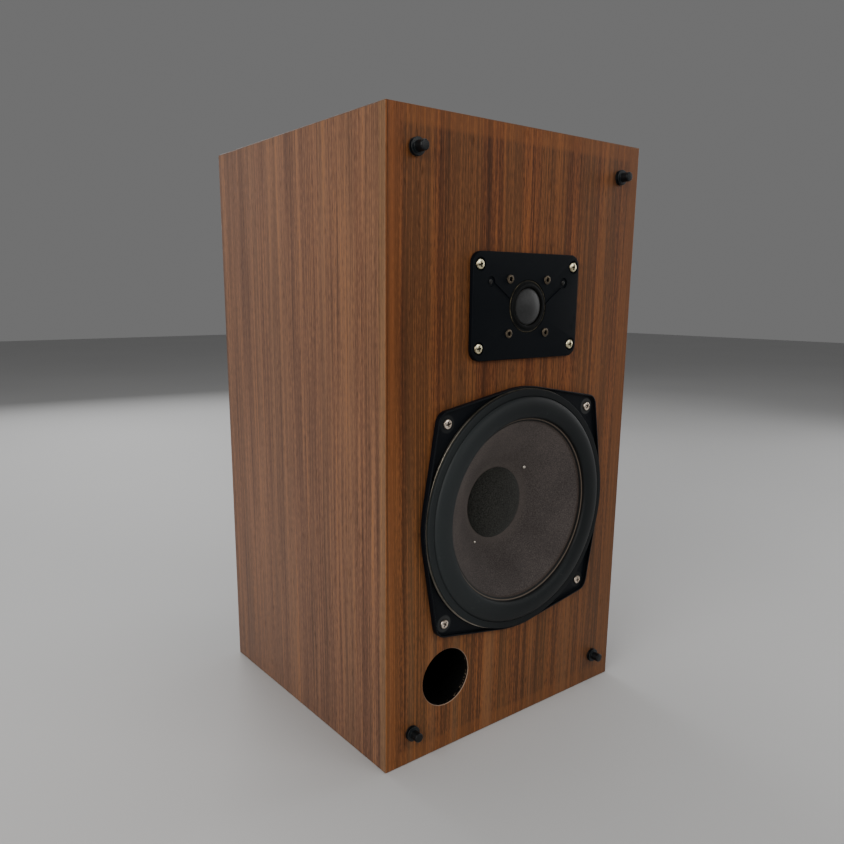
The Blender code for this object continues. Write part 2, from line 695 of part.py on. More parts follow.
def woofer_motor():
    """The corrugated spider and the magnet with its steel plates and pole."""
    centre = (0, WOOFER_HEIGHT)
    thickness = 0.0007
    seat = SPIDER_SEAT_DEPTH - TOUCH_GAP
    inner = FORMER_OUTER + 0.0004
    outer = SPIDER_SEAT_RADIUS - 0.0006
    flat = SPIDER_SEAT_RADIUS - 0.0090
    waves = 3
    per_wave = 4
    front = []
    for step in range(waves * per_wave + 1):
        share = step / (waves * per_wave)
        wave = 0.0013 * math.sin(2 * math.pi * waves * share)
        front.append((inner + (flat - 0.001 - inner) * share, seat - thickness - 0.0005 - wave))
    front.append((outer, seat - thickness))
    back = [(radius, depth + thickness) for radius, depth in front]
    turned("woofer_spider", front + back[::-1], "spider cloth", centre, 24)

    plate = [
        (TOP_PLATE_BORE, TOP_PLATE_FRONT),
        (TOP_PLATE_RADIUS, TOP_PLATE_FRONT),
        (TOP_PLATE_RADIUS, TOP_PLATE_REAR),
        (TOP_PLATE_BORE, TOP_PLATE_REAR),
    ]
    turned("woofer_top_plate", plate, "zinc plated steel", centre, 32)
    bore_radius = TOP_PLATE_BORE + 0.007
    magnet = [
        (bore_radius, MAGNET_FRONT),
        (MAGNET_RADIUS, MAGNET_FRONT),
        (MAGNET_RADIUS, MAGNET_REAR),
        (bore_radius, MAGNET_REAR),
    ]
    turned("woofer_magnet", magnet, "ferrite", centre, 32)
    vent = 0.004
    pole = [
        (vent, TOP_PLATE_FRONT),
        (POLE_RADIUS, TOP_PLATE_FRONT),
        (POLE_RADIUS, BACK_PLATE_FRONT),
        (TOP_PLATE_RADIUS, BACK_PLATE_FRONT),
        (TOP_PLATE_RADIUS, BACK_PLATE_REAR),
        (vent, BACK_PLATE_REAR),
    ]
    turned("woofer_back_plate", pole, "zinc plated steel", centre, 32)


# ---------------------------------------------------------------- tweeter

def tweeter_plate():
    """The faceplate, with its screw and rivet holes, lead pockets and lead grooves."""
    half_x = FACEPLATE_WIDTH / 2
    half_z = FACEPLATE_HEIGHT / 2
    edge = 0.0006
    full = rounded_rectangle(half_x, half_z, FACEPLATE_CORNER)
    softened = rounded_rectangle(half_x - edge, half_z - edge, FACEPLATE_CORNER - edge)
    angles = [math.atan2(z, x) for x, z in full]
    angles = [math.tau * i / len(angles) + angles[0] for i in range(len(angles))]
    back = -TOUCH_GAP
    loops = [
        at_depth(full, back),
        at_depth(full, FACEPLATE_FACE + edge),
        at_depth(softened, FACEPLATE_FACE),
        circle(RECESS_RADIUS, FACEPLATE_FACE, angles),
        circle(RECESS_RADIUS, RECESS_FLOOR, angles),
        circle(FACEPLATE_BORE, RECESS_FLOOR, angles),
        circle(FACEPLATE_BORE, back, angles),
    ]
    bm = bmesh.new()
    skin(bm, loops, along=True)
    middle = (0, FRONT, TWEETER_HEIGHT)
    plate = place("tweeter_faceplate", bm, "black plastic", middle, smooth=True)
    for name, centre, seat in screw_places():
        if name.startswith("tweeter"):
            bore(plate, "plate_" + name, centre, SCREW_HOLE, -0.01, 0.004, 10)
            bore(plate, "pocket_" + name, centre, SCREW_HEAD_RADIUS + 0.0011, -0.01, seat, 20)
    for name, centre in rivet_places():
        bore(plate, "plate_" + name, centre, RIVET_BORE + 0.0009, -0.01, 0.004, 12)
    groove_floor = FACEPLATE_FACE + LEAD_GROOVE_DEPTH
    for name, side in (("left", -1), ("right", 1)):
        centre = (side * TAB_X, TWEETER_HEIGHT + TAB_Z)
        bore(plate, "lead_pocket_" + name, centre, 0.0040, -0.01, groove_floor + 0.0002, 20)
        bore(plate, "tab_hole_" + name, centre, 0.0014, -0.01, 0.004, 10)
        start = Vector((side * (TAB_X - 0.002), TAB_Z - 0.0014))
        end = Vector((side * (RECESS_RADIUS - 0.0012), 0.0035))
        across = (end - start).orthogonal().normalized() * LEAD_GROOVE_WIDTH / 2
        corners = [start + across, end + across, end - across, start - across]
        outline = [(point.x, point.y) for point in corners]
        groove = bmesh.new()
        skin(groove, [at_depth(outline, -0.01), at_depth(outline, groove_floor)], caps=True)
        cut(plate, place("lead_groove_" + name, groove, None, middle))


def rivet_places():
    places = []
    for vertical, up in (("top", 1), ("bottom", -1)):
        for side, across in (("left", -1), ("right", 1)):
            centre = (across * RIVET_X, TWEETER_HEIGHT + up * RIVET_Z)
            places.append((f"tweeter_rivet_{vertical}_{side}", centre))
    return places


def tweeter_small_parts():
    """Hollow rivets that hold the magnet to the faceplate, and the two lead tabs."""
    head_back = FACEPLATE_FACE - TOUCH_GAP
    head_top = head_back - 0.0009
    shank = RIVET_BORE + 0.0005
    rivet = [
        (RIVET_BORE, head_top),
        (RIVET_HEAD_RADIUS - 0.0006, head_top),
        (RIVET_HEAD_RADIUS, head_back - 0.0004),
        (RIVET_HEAD_RADIUS, head_back),
        (shank, head_back),
        (shank, TWEETER_PLATE_THICKNESS),
        (RIVET_BORE, TWEETER_PLATE_THICKNESS),
    ]
    for name, centre in rivet_places():
        turned(name, rivet, "brass", centre, 12)
    floor = FACEPLATE_FACE + LEAD_GROOVE_DEPTH + 0.0002
    tab = [
        (0, floor - 0.0006),
        (0.0018, floor - 0.0006),
        (0.0018, floor - TOUCH_GAP),
        (0.0010, floor - TOUCH_GAP),
        (0.0010, 0.010),
        (0, 0.010),
    ]
    for name, side in (("tweeter_tab_left", -1), ("tweeter_tab_right", 1)):
        turned(name, tab, "brass", (side * TAB_X, TWEETER_HEIGHT + TAB_Z), 10, ring=False)


def tweeter_dome_group():
    """The fabric dome and its coil, which slide together, and the small roll round them."""
    centre = (0, TWEETER_HEIGHT)
    base = RECESS_FLOOR - 0.0004
    ball = (DOME_RADIUS ** 2 + DOME_RISE ** 2) / (2 * DOME_RISE)
    spread = math.asin(DOME_RADIUS / ball)
    wall = 0.0004
    steps = 5
    outer = []
    inner = []
    for step in range(steps + 1):
        a = spread * step / steps
        outer.append((ball * math.sin(a), base + ball * (math.cos(spread) - math.cos(a))))
        inner.append(((ball - wall) * math.sin(a), base + ball * math.cos(spread) - (ball - wall) * math.cos(a)))
    turned("tweeter_dome", outer + inner[::-1], "dome fabric", centre, 24, ring=False)

    coil_front = base + 0.0006
    coil = [
        (TWEETER_COIL_RADIUS, coil_front),
        (TWEETER_FORMER_OUTER, coil_front),
        (TWEETER_FORMER_OUTER, TWEETER_PLATE_THICKNESS + 0.001),
        (TWEETER_COIL_RADIUS, TWEETER_PLATE_THICKNESS + 0.001),
    ]
    turned("tweeter_voice_coil", coil, "copper", centre, 24)

    thickness = 0.00035
    roll_in = DOME_RADIUS + 0.0006
    roll_out = DOME_RADIUS + 0.0036
    lip_out = DOME_RADIUS + SUSPENSION_WIDTH
    lip_back = RECESS_FLOOR - TOUCH_GAP
    front = [(lip_out, lip_back - thickness), (roll_out, lip_back - thickness)]
    back = [(lip_out, lip_back), (roll_out, lip_back)]
    middle = (roll_in + roll_out) / 2
    half = (roll_out - roll_in) / 2
    steps = 4
    for step in range(1, steps):
        a = math.pi * step / steps
        front.append((middle + half * math.cos(a), lip_back - thickness - 0.0011 * math.sin(a)))
        back.append((middle + (half - thickness) * math.cos(a), lip_back - 0.0011 * math.sin(a)))
    front.append((roll_in, lip_back - thickness))
    back.append((roll_in, lip_back))
    turned("tweeter_suspension", front + back[::-1], "dome fabric", centre, 28)


def tweeter_motor():
    centre = (0, TWEETER_HEIGHT)
    plate = [
        (TWEETER_PLATE_BORE, 0.0),
        (TWEETER_PLATE_RADIUS, 0.0),
        (TWEETER_PLATE_RADIUS, TWEETER_PLATE_THICKNESS),
        (TWEETER_PLATE_BORE, TWEETER_PLATE_THICKNESS),
    ]
    top = turned("tweeter_top_plate", plate, "zinc plated steel", centre, 32)
    for name, place_xz in rivet_places():
        bore(top, "seat_" + name, place_xz, RIVET_BORE + 0.0009, -0.01, 0.02, 12)
    magnet_front = TWEETER_PLATE_THICKNESS + TOUCH_GAP
    magnet_rear = magnet_front + TWEETER_MAGNET_THICKNESS
    magnet_bore = TWEETER_PLATE_BORE + 0.002
    magnet = [
        (magnet_bore, magnet_front),
        (TWEETER_MAGNET_RADIUS, magnet_front),
        (TWEETER_MAGNET_RADIUS, magnet_rear),
        (magnet_bore, magnet_rear),
    ]
    turned("tweeter_magnet", magnet, "ferrite", centre, 32)
    rear_plate_front = magnet_rear + TOUCH_GAP
    rear_plate_rear = rear_plate_front + TWEETER_PLATE_THICKNESS
    pole = [
        (0, 0.0002),
        (TWEETER_POLE, 0.0002),
        (TWEETER_POLE, rear_plate_front),
        (TWEETER_MAGNET_RADIUS - 0.001, rear_plate_front),
        (TWEETER_MAGNET_RADIUS - 0.001, rear_plate_rear),
        (0, rear_plate_rear),
    ]
    turned("tweeter_back_plate", pole, "zinc plated steel", centre, 32, ring=False)


# ---------------------------------------------------------------- terminals, crossover and wiring

def terminal_cup():
    """A recessed cup whose flange lies on the back panel, with slots for the contacts."""

    def frame(half_x, half_z, y):
        return [
            (-half_x, y, TERMINAL_HEIGHT - half_z),
            (half_x, y, TERMINAL_HEIGHT - half_z),
            (half_x, y, TERMINAL_HEIGHT + half_z),
            (-half_x, y, TERMINAL_HEIGHT + half_z),
        ]

    seat = BACK_PANEL_OUTSIDE + TOUCH_GAP
    face = seat + CUP_FLANGE_THICKNESS
    shell_x = CUP_HALF_WIDTH + CUP_WALL
    shell_z = CUP_HALF_HEIGHT + CUP_WALL
    loops = [
        frame(shell_x, shell_z, CUP_BOTTOM),
        frame(shell_x, shell_z, seat),
        frame(CUP_HALF_WIDTH + CUP_FLANGE, CUP_HALF_HEIGHT + CUP_FLANGE, seat),
        frame(CUP_HALF_WIDTH + CUP_FLANGE, CUP_HALF_HEIGHT + CUP_FLANGE, face),
        frame(CUP_HALF_WIDTH, CUP_HALF_HEIGHT, face),
        frame(CUP_HALF_WIDTH, CUP_HALF_HEIGHT, CUP_FLOOR),
    ]
    bm = bmesh.new()
    skin(bm, loops, caps=True)
    cup = place("terminal_plate", bm, "black plastic")
    pin_hole = bmesh.new()
    angles = even_angles(12)
    hole = LEVER_PIN_RADIUS + PIN_CLEARANCE
    ends = [-shell_x - 0.005, shell_x + 0.005]
    rings = [[(x, hole * math.cos(a), hole * math.sin(a)) for a in angles] for x in ends]
    skin(pin_hole, rings, caps=True)
    cut(cup, place("pin_hole", pin_hole, None, (0, LEVER_PIN_Y, LEVER_PIN_Z)))
    for name, x in lever_places():
        half = SPRING_WIDTH / 2 + TOUCH_GAP
        top = TERMINAL_HEIGHT - 0.0050
        low = (x - half, CUP_BOTTOM - 0.01, top - SPRING_THICKNESS - 2 * TOUCH_GAP)
        slot(cup, "contact_slot_" + name, low, (x + half, CUP_FLOOR + 0.001, top))


def lever_places():
    return (("red", LEVER_SPACING / 2), ("black", -LEVER_SPACING / 2))


def levers():
    """The two spring clip levers on their shared pin, and the leaf contact under each."""
    half = LEVER_WIDTH / 2
    arm = 0.0026
    hole = LEVER_PIN_RADIUS + PIN_CLEARANCE
    tip = LEVER_REACH
    for name, x in lever_places():
        outline = []
        for step in range(9):
            a = math.radians(70) + math.radians(220) * step / 8
            outline.append((LEVER_HUB_RADIUS * math.cos(a), LEVER_HUB_RADIUS * math.sin(a)))
        outline.append((LEVER_HUB_RADIUS + 0.001, -arm + 0.0006))
        outline.append((tip - 0.0010, -arm + 0.0020))
        outline.append((tip, 0.0006))
        outline.append((tip - 0.0004, arm + 0.0016))
        outline.append((tip - 0.0014, arm + 0.0022))
        outline.append((LEVER_HUB_RADIUS + 0.001, arm))
        bm = bmesh.new()
        sides = [[(sx, y, z) for y, z in outline] for sx in (-half, half)]
        skin(bm, sides, caps=True)
        look = "red plastic" if name == "red" else "black plastic"
        lever = place("clip_lever_" + name, bm, look, (x, LEVER_PIN_Y, LEVER_PIN_Z))
        drill = bmesh.new()
        angles = even_angles(12)
        ends = (-half - 0.002, half + 0.002)
        rings = [[(sx, hole * math.cos(a), hole * math.sin(a)) for a in angles] for sx in ends]
        skin(drill, rings, caps=True)
        cut(lever, place("drill_" + name, drill, None, (x, LEVER_PIN_Y, LEVER_PIN_Z)))

    pin = bmesh.new()
    reach = CUP_HALF_WIDTH + CUP_WALL - 0.0004
    angles = even_angles(12)
    rings = [
        [(sx, LEVER_PIN_RADIUS * math.cos(a), LEVER_PIN_RADIUS * math.sin(a)) for a in angles]
        for sx in (-reach, reach)
    ]
    skin(pin, rings, caps=True)
    place("lever_pin", pin, "zinc plated steel", (0, LEVER_PIN_Y, LEVER_PIN_Z), smooth=True)

    for name, x in lever_places():
        top = TERMINAL_HEIGHT - 0.0050 - TOUCH_GAP
        under = top - SPRING_THICKNESS
        bend = CUP_FLOOR + 0.0045
        outline = [
            (BOARD_FACE + TOUCH_GAP, under),
            (bend, under),
            (bend, TERMINAL_HEIGHT - CUP_HALF_HEIGHT + 0.004),
            (bend + SPRING_THICKNESS, TERMINAL_HEIGHT - CUP_HALF_HEIGHT + 0.004),
            (bend + SPRING_THICKNESS, top),
            (BOARD_FACE + TOUCH_GAP, top),
        ]
        bm = bmesh.new()
        sides = [[(sx, y, z) for y, z in outline] for sx in (x - SPRING_WIDTH / 2, x + SPRING_WIDTH / 2)]
        skin(bm, sides, caps=True)
        place("contact_spring_" + name, bm, "brass")


def crossover():
    """The filter board behind the terminals, with its coil and capacitor."""
    block(
        "crossover_board",
        (-BOARD_WIDTH / 2, BOARD_FACE - BOARD_THICKNESS, TERMINAL_HEIGHT - BOARD_HEIGHT / 2),
        (BOARD_WIDTH / 2, BOARD_FACE, TERMINAL_HEIGHT + BOARD_HEIGHT / 2),
        "circuit board",
    )
    seat = BOARD_FACE - BOARD_THICKNESS - TOUCH_GAP - FRONT
    winding = [(0.006, seat), (0.017, seat), (0.017, seat - 0.014), (0.006, seat - 0.014)]
    turned("crossover_inductor", winding, "copper", (-0.022, TERMINAL_HEIGHT - 0.010), 20)
    can = bmesh.new()
    radius = 0.009
    angles = even_angles(16)
    rings = [
        [(sx, radius * math.cos(a), radius * math.sin(a)) for a in angles] for sx in (-0.016, 0.016)
    ]
    skin(can, rings, caps=True)
    where = (0.022, FRONT + seat - radius, TERMINAL_HEIGHT - 0.012)
    place("crossover_capacitor", can, "yellow film", where, smooth=True)


def smooth_route(points, spacing):
    """Points every spacing or so along a smooth curve through a route's own points."""
    line = [Vector(point) for point in points]
    line = [2 * line[0] - line[1]] + line + [2 * line[-1] - line[-2]]
    result = []
    for i in range(1, len(line) - 2):
        before, start, end, after = line[i - 1:i + 3]
        steps = max(2, round((end - start).length / spacing))
        for step in range(steps):
            t = step / steps
            bend = (2 * before - 5 * start + 4 * end - after) * t ** 2
            bend += (3 * start - before - 3 * end + after) * t ** 3
            result.append(start + ((end - before) * t + bend) / 2)
    result.append(line[-2])
    return result


def cord(name, route, radius, look, spacing):
    curve = bpy.data.curves.new(name, "CURVE")
    curve.dimensions = "3D"
    curve.bevel_depth = radius
    curve.bevel_resolution = 1
    curve.use_fill_caps = True
    points = smooth_route(route, spacing)
    spline = curve.splines.new("POLY")
    spline.points.add(len(points) - 1)
    for spot, point in zip(spline.points, points):
        spot.co = (*point, 1.0)
    curve.materials.append(finish(look))
    piece = bpy.data.objects.new(name, curve)
    bpy.context.scene.collection.objects.link(piece)


def wiring():
    """Tinsel leads from the cone to the basket, and a cable from the board to each driver."""
    root = EYELET_RADIAL_PLACE
    start = cone_depth(root) + CONE_THICKNESS * math.hypot(1, CONE_SLOPE) + 0.0006
    wall_run = (BASKET_MOUTH - SPIDER_SEAT_RADIUS) / (SPIDER_SEAT_DEPTH - 0.012)
    end_depth = 0.036
    wall_end = SPIDER_SEAT_RADIUS + (SPIDER_SEAT_DEPTH - end_depth) * wall_run
    end = wall_end - (TINSEL_RADIUS + 0.0005) * math.hypot(1, wall_run)
    middle = (root + end) / 2
    hang = ((root, start), (root + 0.0004, start + 0.005), (root + 0.004, start + 0.011),
            (middle, start + 0.0155), (end - 0.006, end_depth + 0.0010), (end, end_depth))
    for name, side in (("tinsel_lead_upper", 1), ("tinsel_lead_lower", -1)):
        diagonal = side / math.sqrt(2)
        route = [
            (diagonal * radius, FRONT + depth, WOOFER_HEIGHT + diagonal * radius)
            for radius, depth in hang
        ]
        cord(name, route, TINSEL_RADIUS, "copper", 0.003)

    board_front = BOARD_FACE - BOARD_THICKNESS - 0.0006
    outer_wall = SPIDER_SEAT_RADIUS + (SPIDER_SEAT_DEPTH - 0.030) * wall_run + 0.0058
    rib = outer_wall / math.sqrt(2)
    woofer_end = (rib, FRONT + 0.030, WOOFER_HEIGHT + rib)
    woofer_route = [
        (0.030, board_front, TERMINAL_HEIGHT + 0.022),
        (0.031, board_front - 0.016, TERMINAL_HEIGHT + 0.022),
        (0.045, board_front - 0.040, TERMINAL_HEIGHT + 0.030),
        (rib + 0.012, FRONT + 0.090, WOOFER_HEIGHT + rib - 0.020),
        (rib + 0.012, FRONT + 0.050, WOOFER_HEIGHT + rib + 0.010),
        (rib + 0.006, FRONT + 0.036, WOOFER_HEIGHT + rib + 0.006),
        woofer_end,
    ]
    cord("woofer_cable", woofer_route, CABLE_RADIUS, "cable jacket", 0.011)
    behind_brace = BRACE_DEPTH / 2 + 0.018
    tab_end = (TAB_X, FRONT + 0.010 + 0.0006, TWEETER_HEIGHT + TAB_Z)
    tweeter_route = [
        (0.010, board_front, TERMINAL_HEIGHT + 0.022),
        (0.011, board_front - 0.014, TERMINAL_HEIGHT + 0.024),
        (0.040, behind_brace + 0.004, TERMINAL_HEIGHT + 0.060),
        (0.072, behind_brace, TERMINAL_HEIGHT + 0.110),
        (0.074, behind_brace, TWEETER_HEIGHT - 0.050),
        (0.068, behind_brace - 0.020, TWEETER_HEIGHT - 0.010),
        (0.056, FRONT + 0.075, TWEETER_HEIGHT + 0.010),
        (TAB_X + 0.004, FRONT + 0.036, TWEETER_HEIGHT + TAB_Z),
        (TAB_X, FRONT + 0.020, TWEETER_HEIGHT + TAB_Z),
        tab_end,
    ]
    cord("tweeter_cable", tweeter_route, CABLE_RADIUS, "cable jacket", 0.011)


def damping():
    """The wool pad in front of the upper half of the back panel."""
    back = BACK_PANEL_INSIDE - 0.001
    low = TERMINAL_HEIGHT + BOARD_HEIGHT / 2 + 0.050
    block(
        "wadding",
        (-INNER_HALF_WIDTH + 0.003, back - WADDING_THICKNESS, low),
        (0.052, back, CABINET_HEIGHT - PANEL_THICKNESS - 0.003),
        "polyester wool",
    )


def main():
    for old in list(bpy.data.objects):
        bpy.data.objects.remove(old, do_unlink=True)
    baffle = cabinet()
    baffle_holes(baffle)
    port()
    fasteners()
    woofer_frame()
    woofer_front()
    woofer_cone_group()
    woofer_motor()
    tweeter_plate()
    tweeter_small_parts()
    tweeter_dome_group()
    tweeter_motor()
    terminal_cup()
    levers()
    crossover()
    wiring()
    damping()


main()
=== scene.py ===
"""Looks of a two-way bookshelf loudspeaker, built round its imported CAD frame.

Everything is in metres in the frame's own coordinates: the baffle faces -Y, X runs to the right as seen from
in front, and Z is up. Depths are measured backwards from the baffle's front face, so a negative depth stands
proud of it. Profiles of turned pieces are arrays of (radius, depth).
"""
import math

import bmesh
import bpy
import numpy as np
from mathutils import Matrix, Vector


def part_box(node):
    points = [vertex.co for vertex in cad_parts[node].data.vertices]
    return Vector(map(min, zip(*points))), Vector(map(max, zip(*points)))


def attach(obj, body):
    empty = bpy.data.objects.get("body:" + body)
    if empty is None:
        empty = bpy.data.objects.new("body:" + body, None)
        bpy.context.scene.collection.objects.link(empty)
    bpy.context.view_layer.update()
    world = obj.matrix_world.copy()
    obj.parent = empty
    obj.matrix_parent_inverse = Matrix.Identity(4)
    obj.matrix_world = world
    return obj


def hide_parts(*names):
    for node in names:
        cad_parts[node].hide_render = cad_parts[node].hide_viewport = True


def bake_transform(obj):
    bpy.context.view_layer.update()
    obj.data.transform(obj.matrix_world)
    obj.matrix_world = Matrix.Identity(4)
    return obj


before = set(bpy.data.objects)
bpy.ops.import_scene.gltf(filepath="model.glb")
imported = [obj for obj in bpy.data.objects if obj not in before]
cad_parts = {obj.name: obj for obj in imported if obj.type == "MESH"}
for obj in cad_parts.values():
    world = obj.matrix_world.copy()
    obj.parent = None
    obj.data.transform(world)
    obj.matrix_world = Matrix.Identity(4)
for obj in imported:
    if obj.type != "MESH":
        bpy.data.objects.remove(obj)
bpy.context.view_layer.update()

TAU = 2 * math.pi
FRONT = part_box("front_baffle")[0].y
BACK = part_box("left_side_panel")[1].y
HALF_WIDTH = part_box("right_side_panel")[1].x
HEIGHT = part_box("top_panel")[1].z
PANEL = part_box("front_baffle")[1].y - FRONT


def centre_of(node):
    """(x, z) of the middle of a CAD node's box."""
    low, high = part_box(node)
    return (low.x + high.x) / 2, (low.z + high.z) / 2


def extent(node):
    """Radius, front depth and rear depth of a CAD node turned about Y."""
    low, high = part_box(node)
    return (high.x - low.x) / 2, low.y - FRONT, high.y - FRONT


def corner_set(name):
    """The names of four like nodes, one in each corner."""
    return [f"{name}_{v}_{s}" for v in ("top", "bottom") for s in ("left", "right")]


WOOFER = centre_of("woofer_basket")
TWEETER = centre_of("tweeter_faceplate")
PORT = centre_of("port_tube")
WOOFER_SCREWS = corner_set("woofer_screw")
TWEETER_SCREWS = corner_set("tweeter_screw")
RIVETS = corner_set("tweeter_rivet")
PEGS = corner_set("grille_peg")
TABS = ["tweeter_tab_left", "tweeter_tab_right"]
PORT_BORE = extent("port_tube")[0] - 0.0016

CONE_EDGE = -0.0033
CONE_RADIUS = 0.0737
CONE_SLOPE = 0.680
CONE_LEAN = math.hypot(1, CONE_SLOPE)
EYELET_PLACE = 0.0395


def cone_depth(radius):
    """Depth of the cone's front surface."""
    return CONE_EDGE + (CONE_RADIUS - radius) * CONE_SLOPE


# ---------------------------------------------------------------- shader building

def tint(code):
    """Linear red, green and blue of a six-figure colour code."""
    shares = [int(code[i:i + 2], 16) / 255 for i in (1, 3, 5)]
    linear = [s / 12.92 if s <= 0.04045 else ((s + 0.055) / 1.055) ** 2.4 for s in shares]
    return (*linear, 1.0)


class Wire:
    """A socket of a finish, so that sums of sockets are written as sums."""

    def __init__(self, finish, socket):
        self.finish = finish
        self.socket = socket

    def maths(self, operation, *values, clamp=False):
        settings = {"operation": operation, "use_clamp": clamp}
        return self.finish.node("ShaderNodeMath", settings, dict(enumerate(values)))

    def __add__(self, other):
        return self.maths("ADD", self, other)

    def __radd__(self, other):
        return self.maths("ADD", other, self)

    def __sub__(self, other):
        return self.maths("SUBTRACT", self, other)

    def __rsub__(self, other):
        return self.maths("SUBTRACT", other, self)

    def __mul__(self, other):
        return self.maths("MULTIPLY", self, other)

    def __pow__(self, other):
        return self.maths("POWER", self, other)

    def __abs__(self):
        return self.maths("ABSOLUTE", self)

    def clamped(self):
        return self.maths("ADD", self, 0.0, clamp=True)

    def least(self, other):
        return self.maths("MINIMUM", self, other)

    def sine(self):
        return self.maths("SINE", self)


class Finish:
    """One material and its nodes."""

    def __init__(self, name, **fixed):
        self.material = bpy.data.materials.new(name)
        self.material.use_nodes = True
        self.nodes = self.material.node_tree.nodes
        self.links = self.material.node_tree.links
        self.shader = self.nodes["Principled BSDF"]
        for socket, value in fixed.items():
            self.shader.inputs[socket.replace("_", " ")].default_value = value
        self.place = self.node("ShaderNodeTexCoord", output="Object")
        parts = self.nodes.new("ShaderNodeSeparateXYZ")
        self.feed(parts.inputs[0], self.place)
        self.x, self.y, self.z = (Wire(self, parts.outputs[i]) for i in range(3))

    def feed(self, socket, value):
        if isinstance(value, Wire):
            self.links.new(value.socket, socket)
        else:
            socket.default_value = value

    def node(self, kind, settings=None, sockets=None, output=0):
        """Any node: its type, its settings (with a ramp's stops), then its sockets' values or links."""
        made = self.nodes.new(kind)
        for key, value in (settings or {}).items():
            if key == "stops":
                ramp = made.color_ramp
                for place, colour in value[2:]:
                    ramp.elements.new(place).color = colour
                ends = (ramp.elements[0], ramp.elements[-1])
                for element, (place, colour) in zip(ends, value[:2]):
                    element.position = place
                    element.color = colour
            else:
                setattr(made, key, value)
        for key, value in (sockets or {}).items():
            self.feed(made.inputs[key], value)
        return Wire(self, made.outputs[output])

    def point(self, x, y, z):
        return self.node("ShaderNodeCombineXYZ", None, {0: x, 1: y, 2: z})

    def noise(self, where, scale=1.0, detail=2.0, roughness=0.5, distortion=0.0):
        sockets = {"Vector": where, "Scale": scale, "Detail": detail}
        sockets.update({"Roughness": roughness, "Distortion": distortion})
        return self.node("ShaderNodeTexNoise", {"noise_dimensions": "3D"}, sockets, "Fac")

    def cells(self, where, scale):
        """Cells of random colour."""
        return self.node("ShaderNodeTexVoronoi", {"feature": "F1"}, {"Vector": where, "Scale": scale}, "Color")

    def rise(self, value, low, high, bottom=0.0, top=1.0):
        """A smooth step from bottom to top as value goes from low to high."""
        sockets = {"Value": value, "From Min": low, "From Max": high, "To Min": bottom, "To Max": top}
        return self.node("ShaderNodeMapRange", {"interpolation_type": "SMOOTHSTEP"}, sockets, "Result")

    def radius(self, centre):
        """Distance from a driver's axis."""
        return self.reach(self.x - centre[0], self.z - centre[1])

    def reach(self, across, up):
        """Length of the line that goes so far across and so far up."""
        return (across * across + up * up) ** 0.5

    def bearing(self, centre):
        """Angle round a driver's axis."""
        return self.z.maths("ARCTAN2", self.z - centre[1], self.x - centre[0])

    def shades(self, value, *stops):
        """A colour ramp; the stops are (place, colour code) in order."""
        colours = [(place, tint(code)) for place, code in stops]
        settings = {"stops": [colours[0], colours[-1], *colours[1:-1]]}
        return self.node("ShaderNodeValToRGB", settings, {0: value})

    def blend(self, factor, first, second):
        """Two colours mixed."""
        colours = [tint(c) if isinstance(c, str) else c for c in (first, second)]
        settings = {"data_type": "RGBA", "blend_type": "MIX", "clamp_factor": True}
        return self.node("ShaderNodeMix", settings, {0: factor, 6: colours[0], 7: colours[1]}, 2)

    def bump(self, height, distance, strength):
        return self.node("ShaderNodeBump", None, {"Height": height, "Distance": distance, "Strength": strength})

    def wear(self, colour, roughness, normal=None):
        """Links what varies over the surface to the shader."""
        for socket, value in (("Base Color", colour), ("Roughness", roughness), ("Normal", normal)):
            if value is not None:
                self.feed(self.shader.inputs[socket], value)
        return self.material


# ---------------------------------------------------------------- finishes

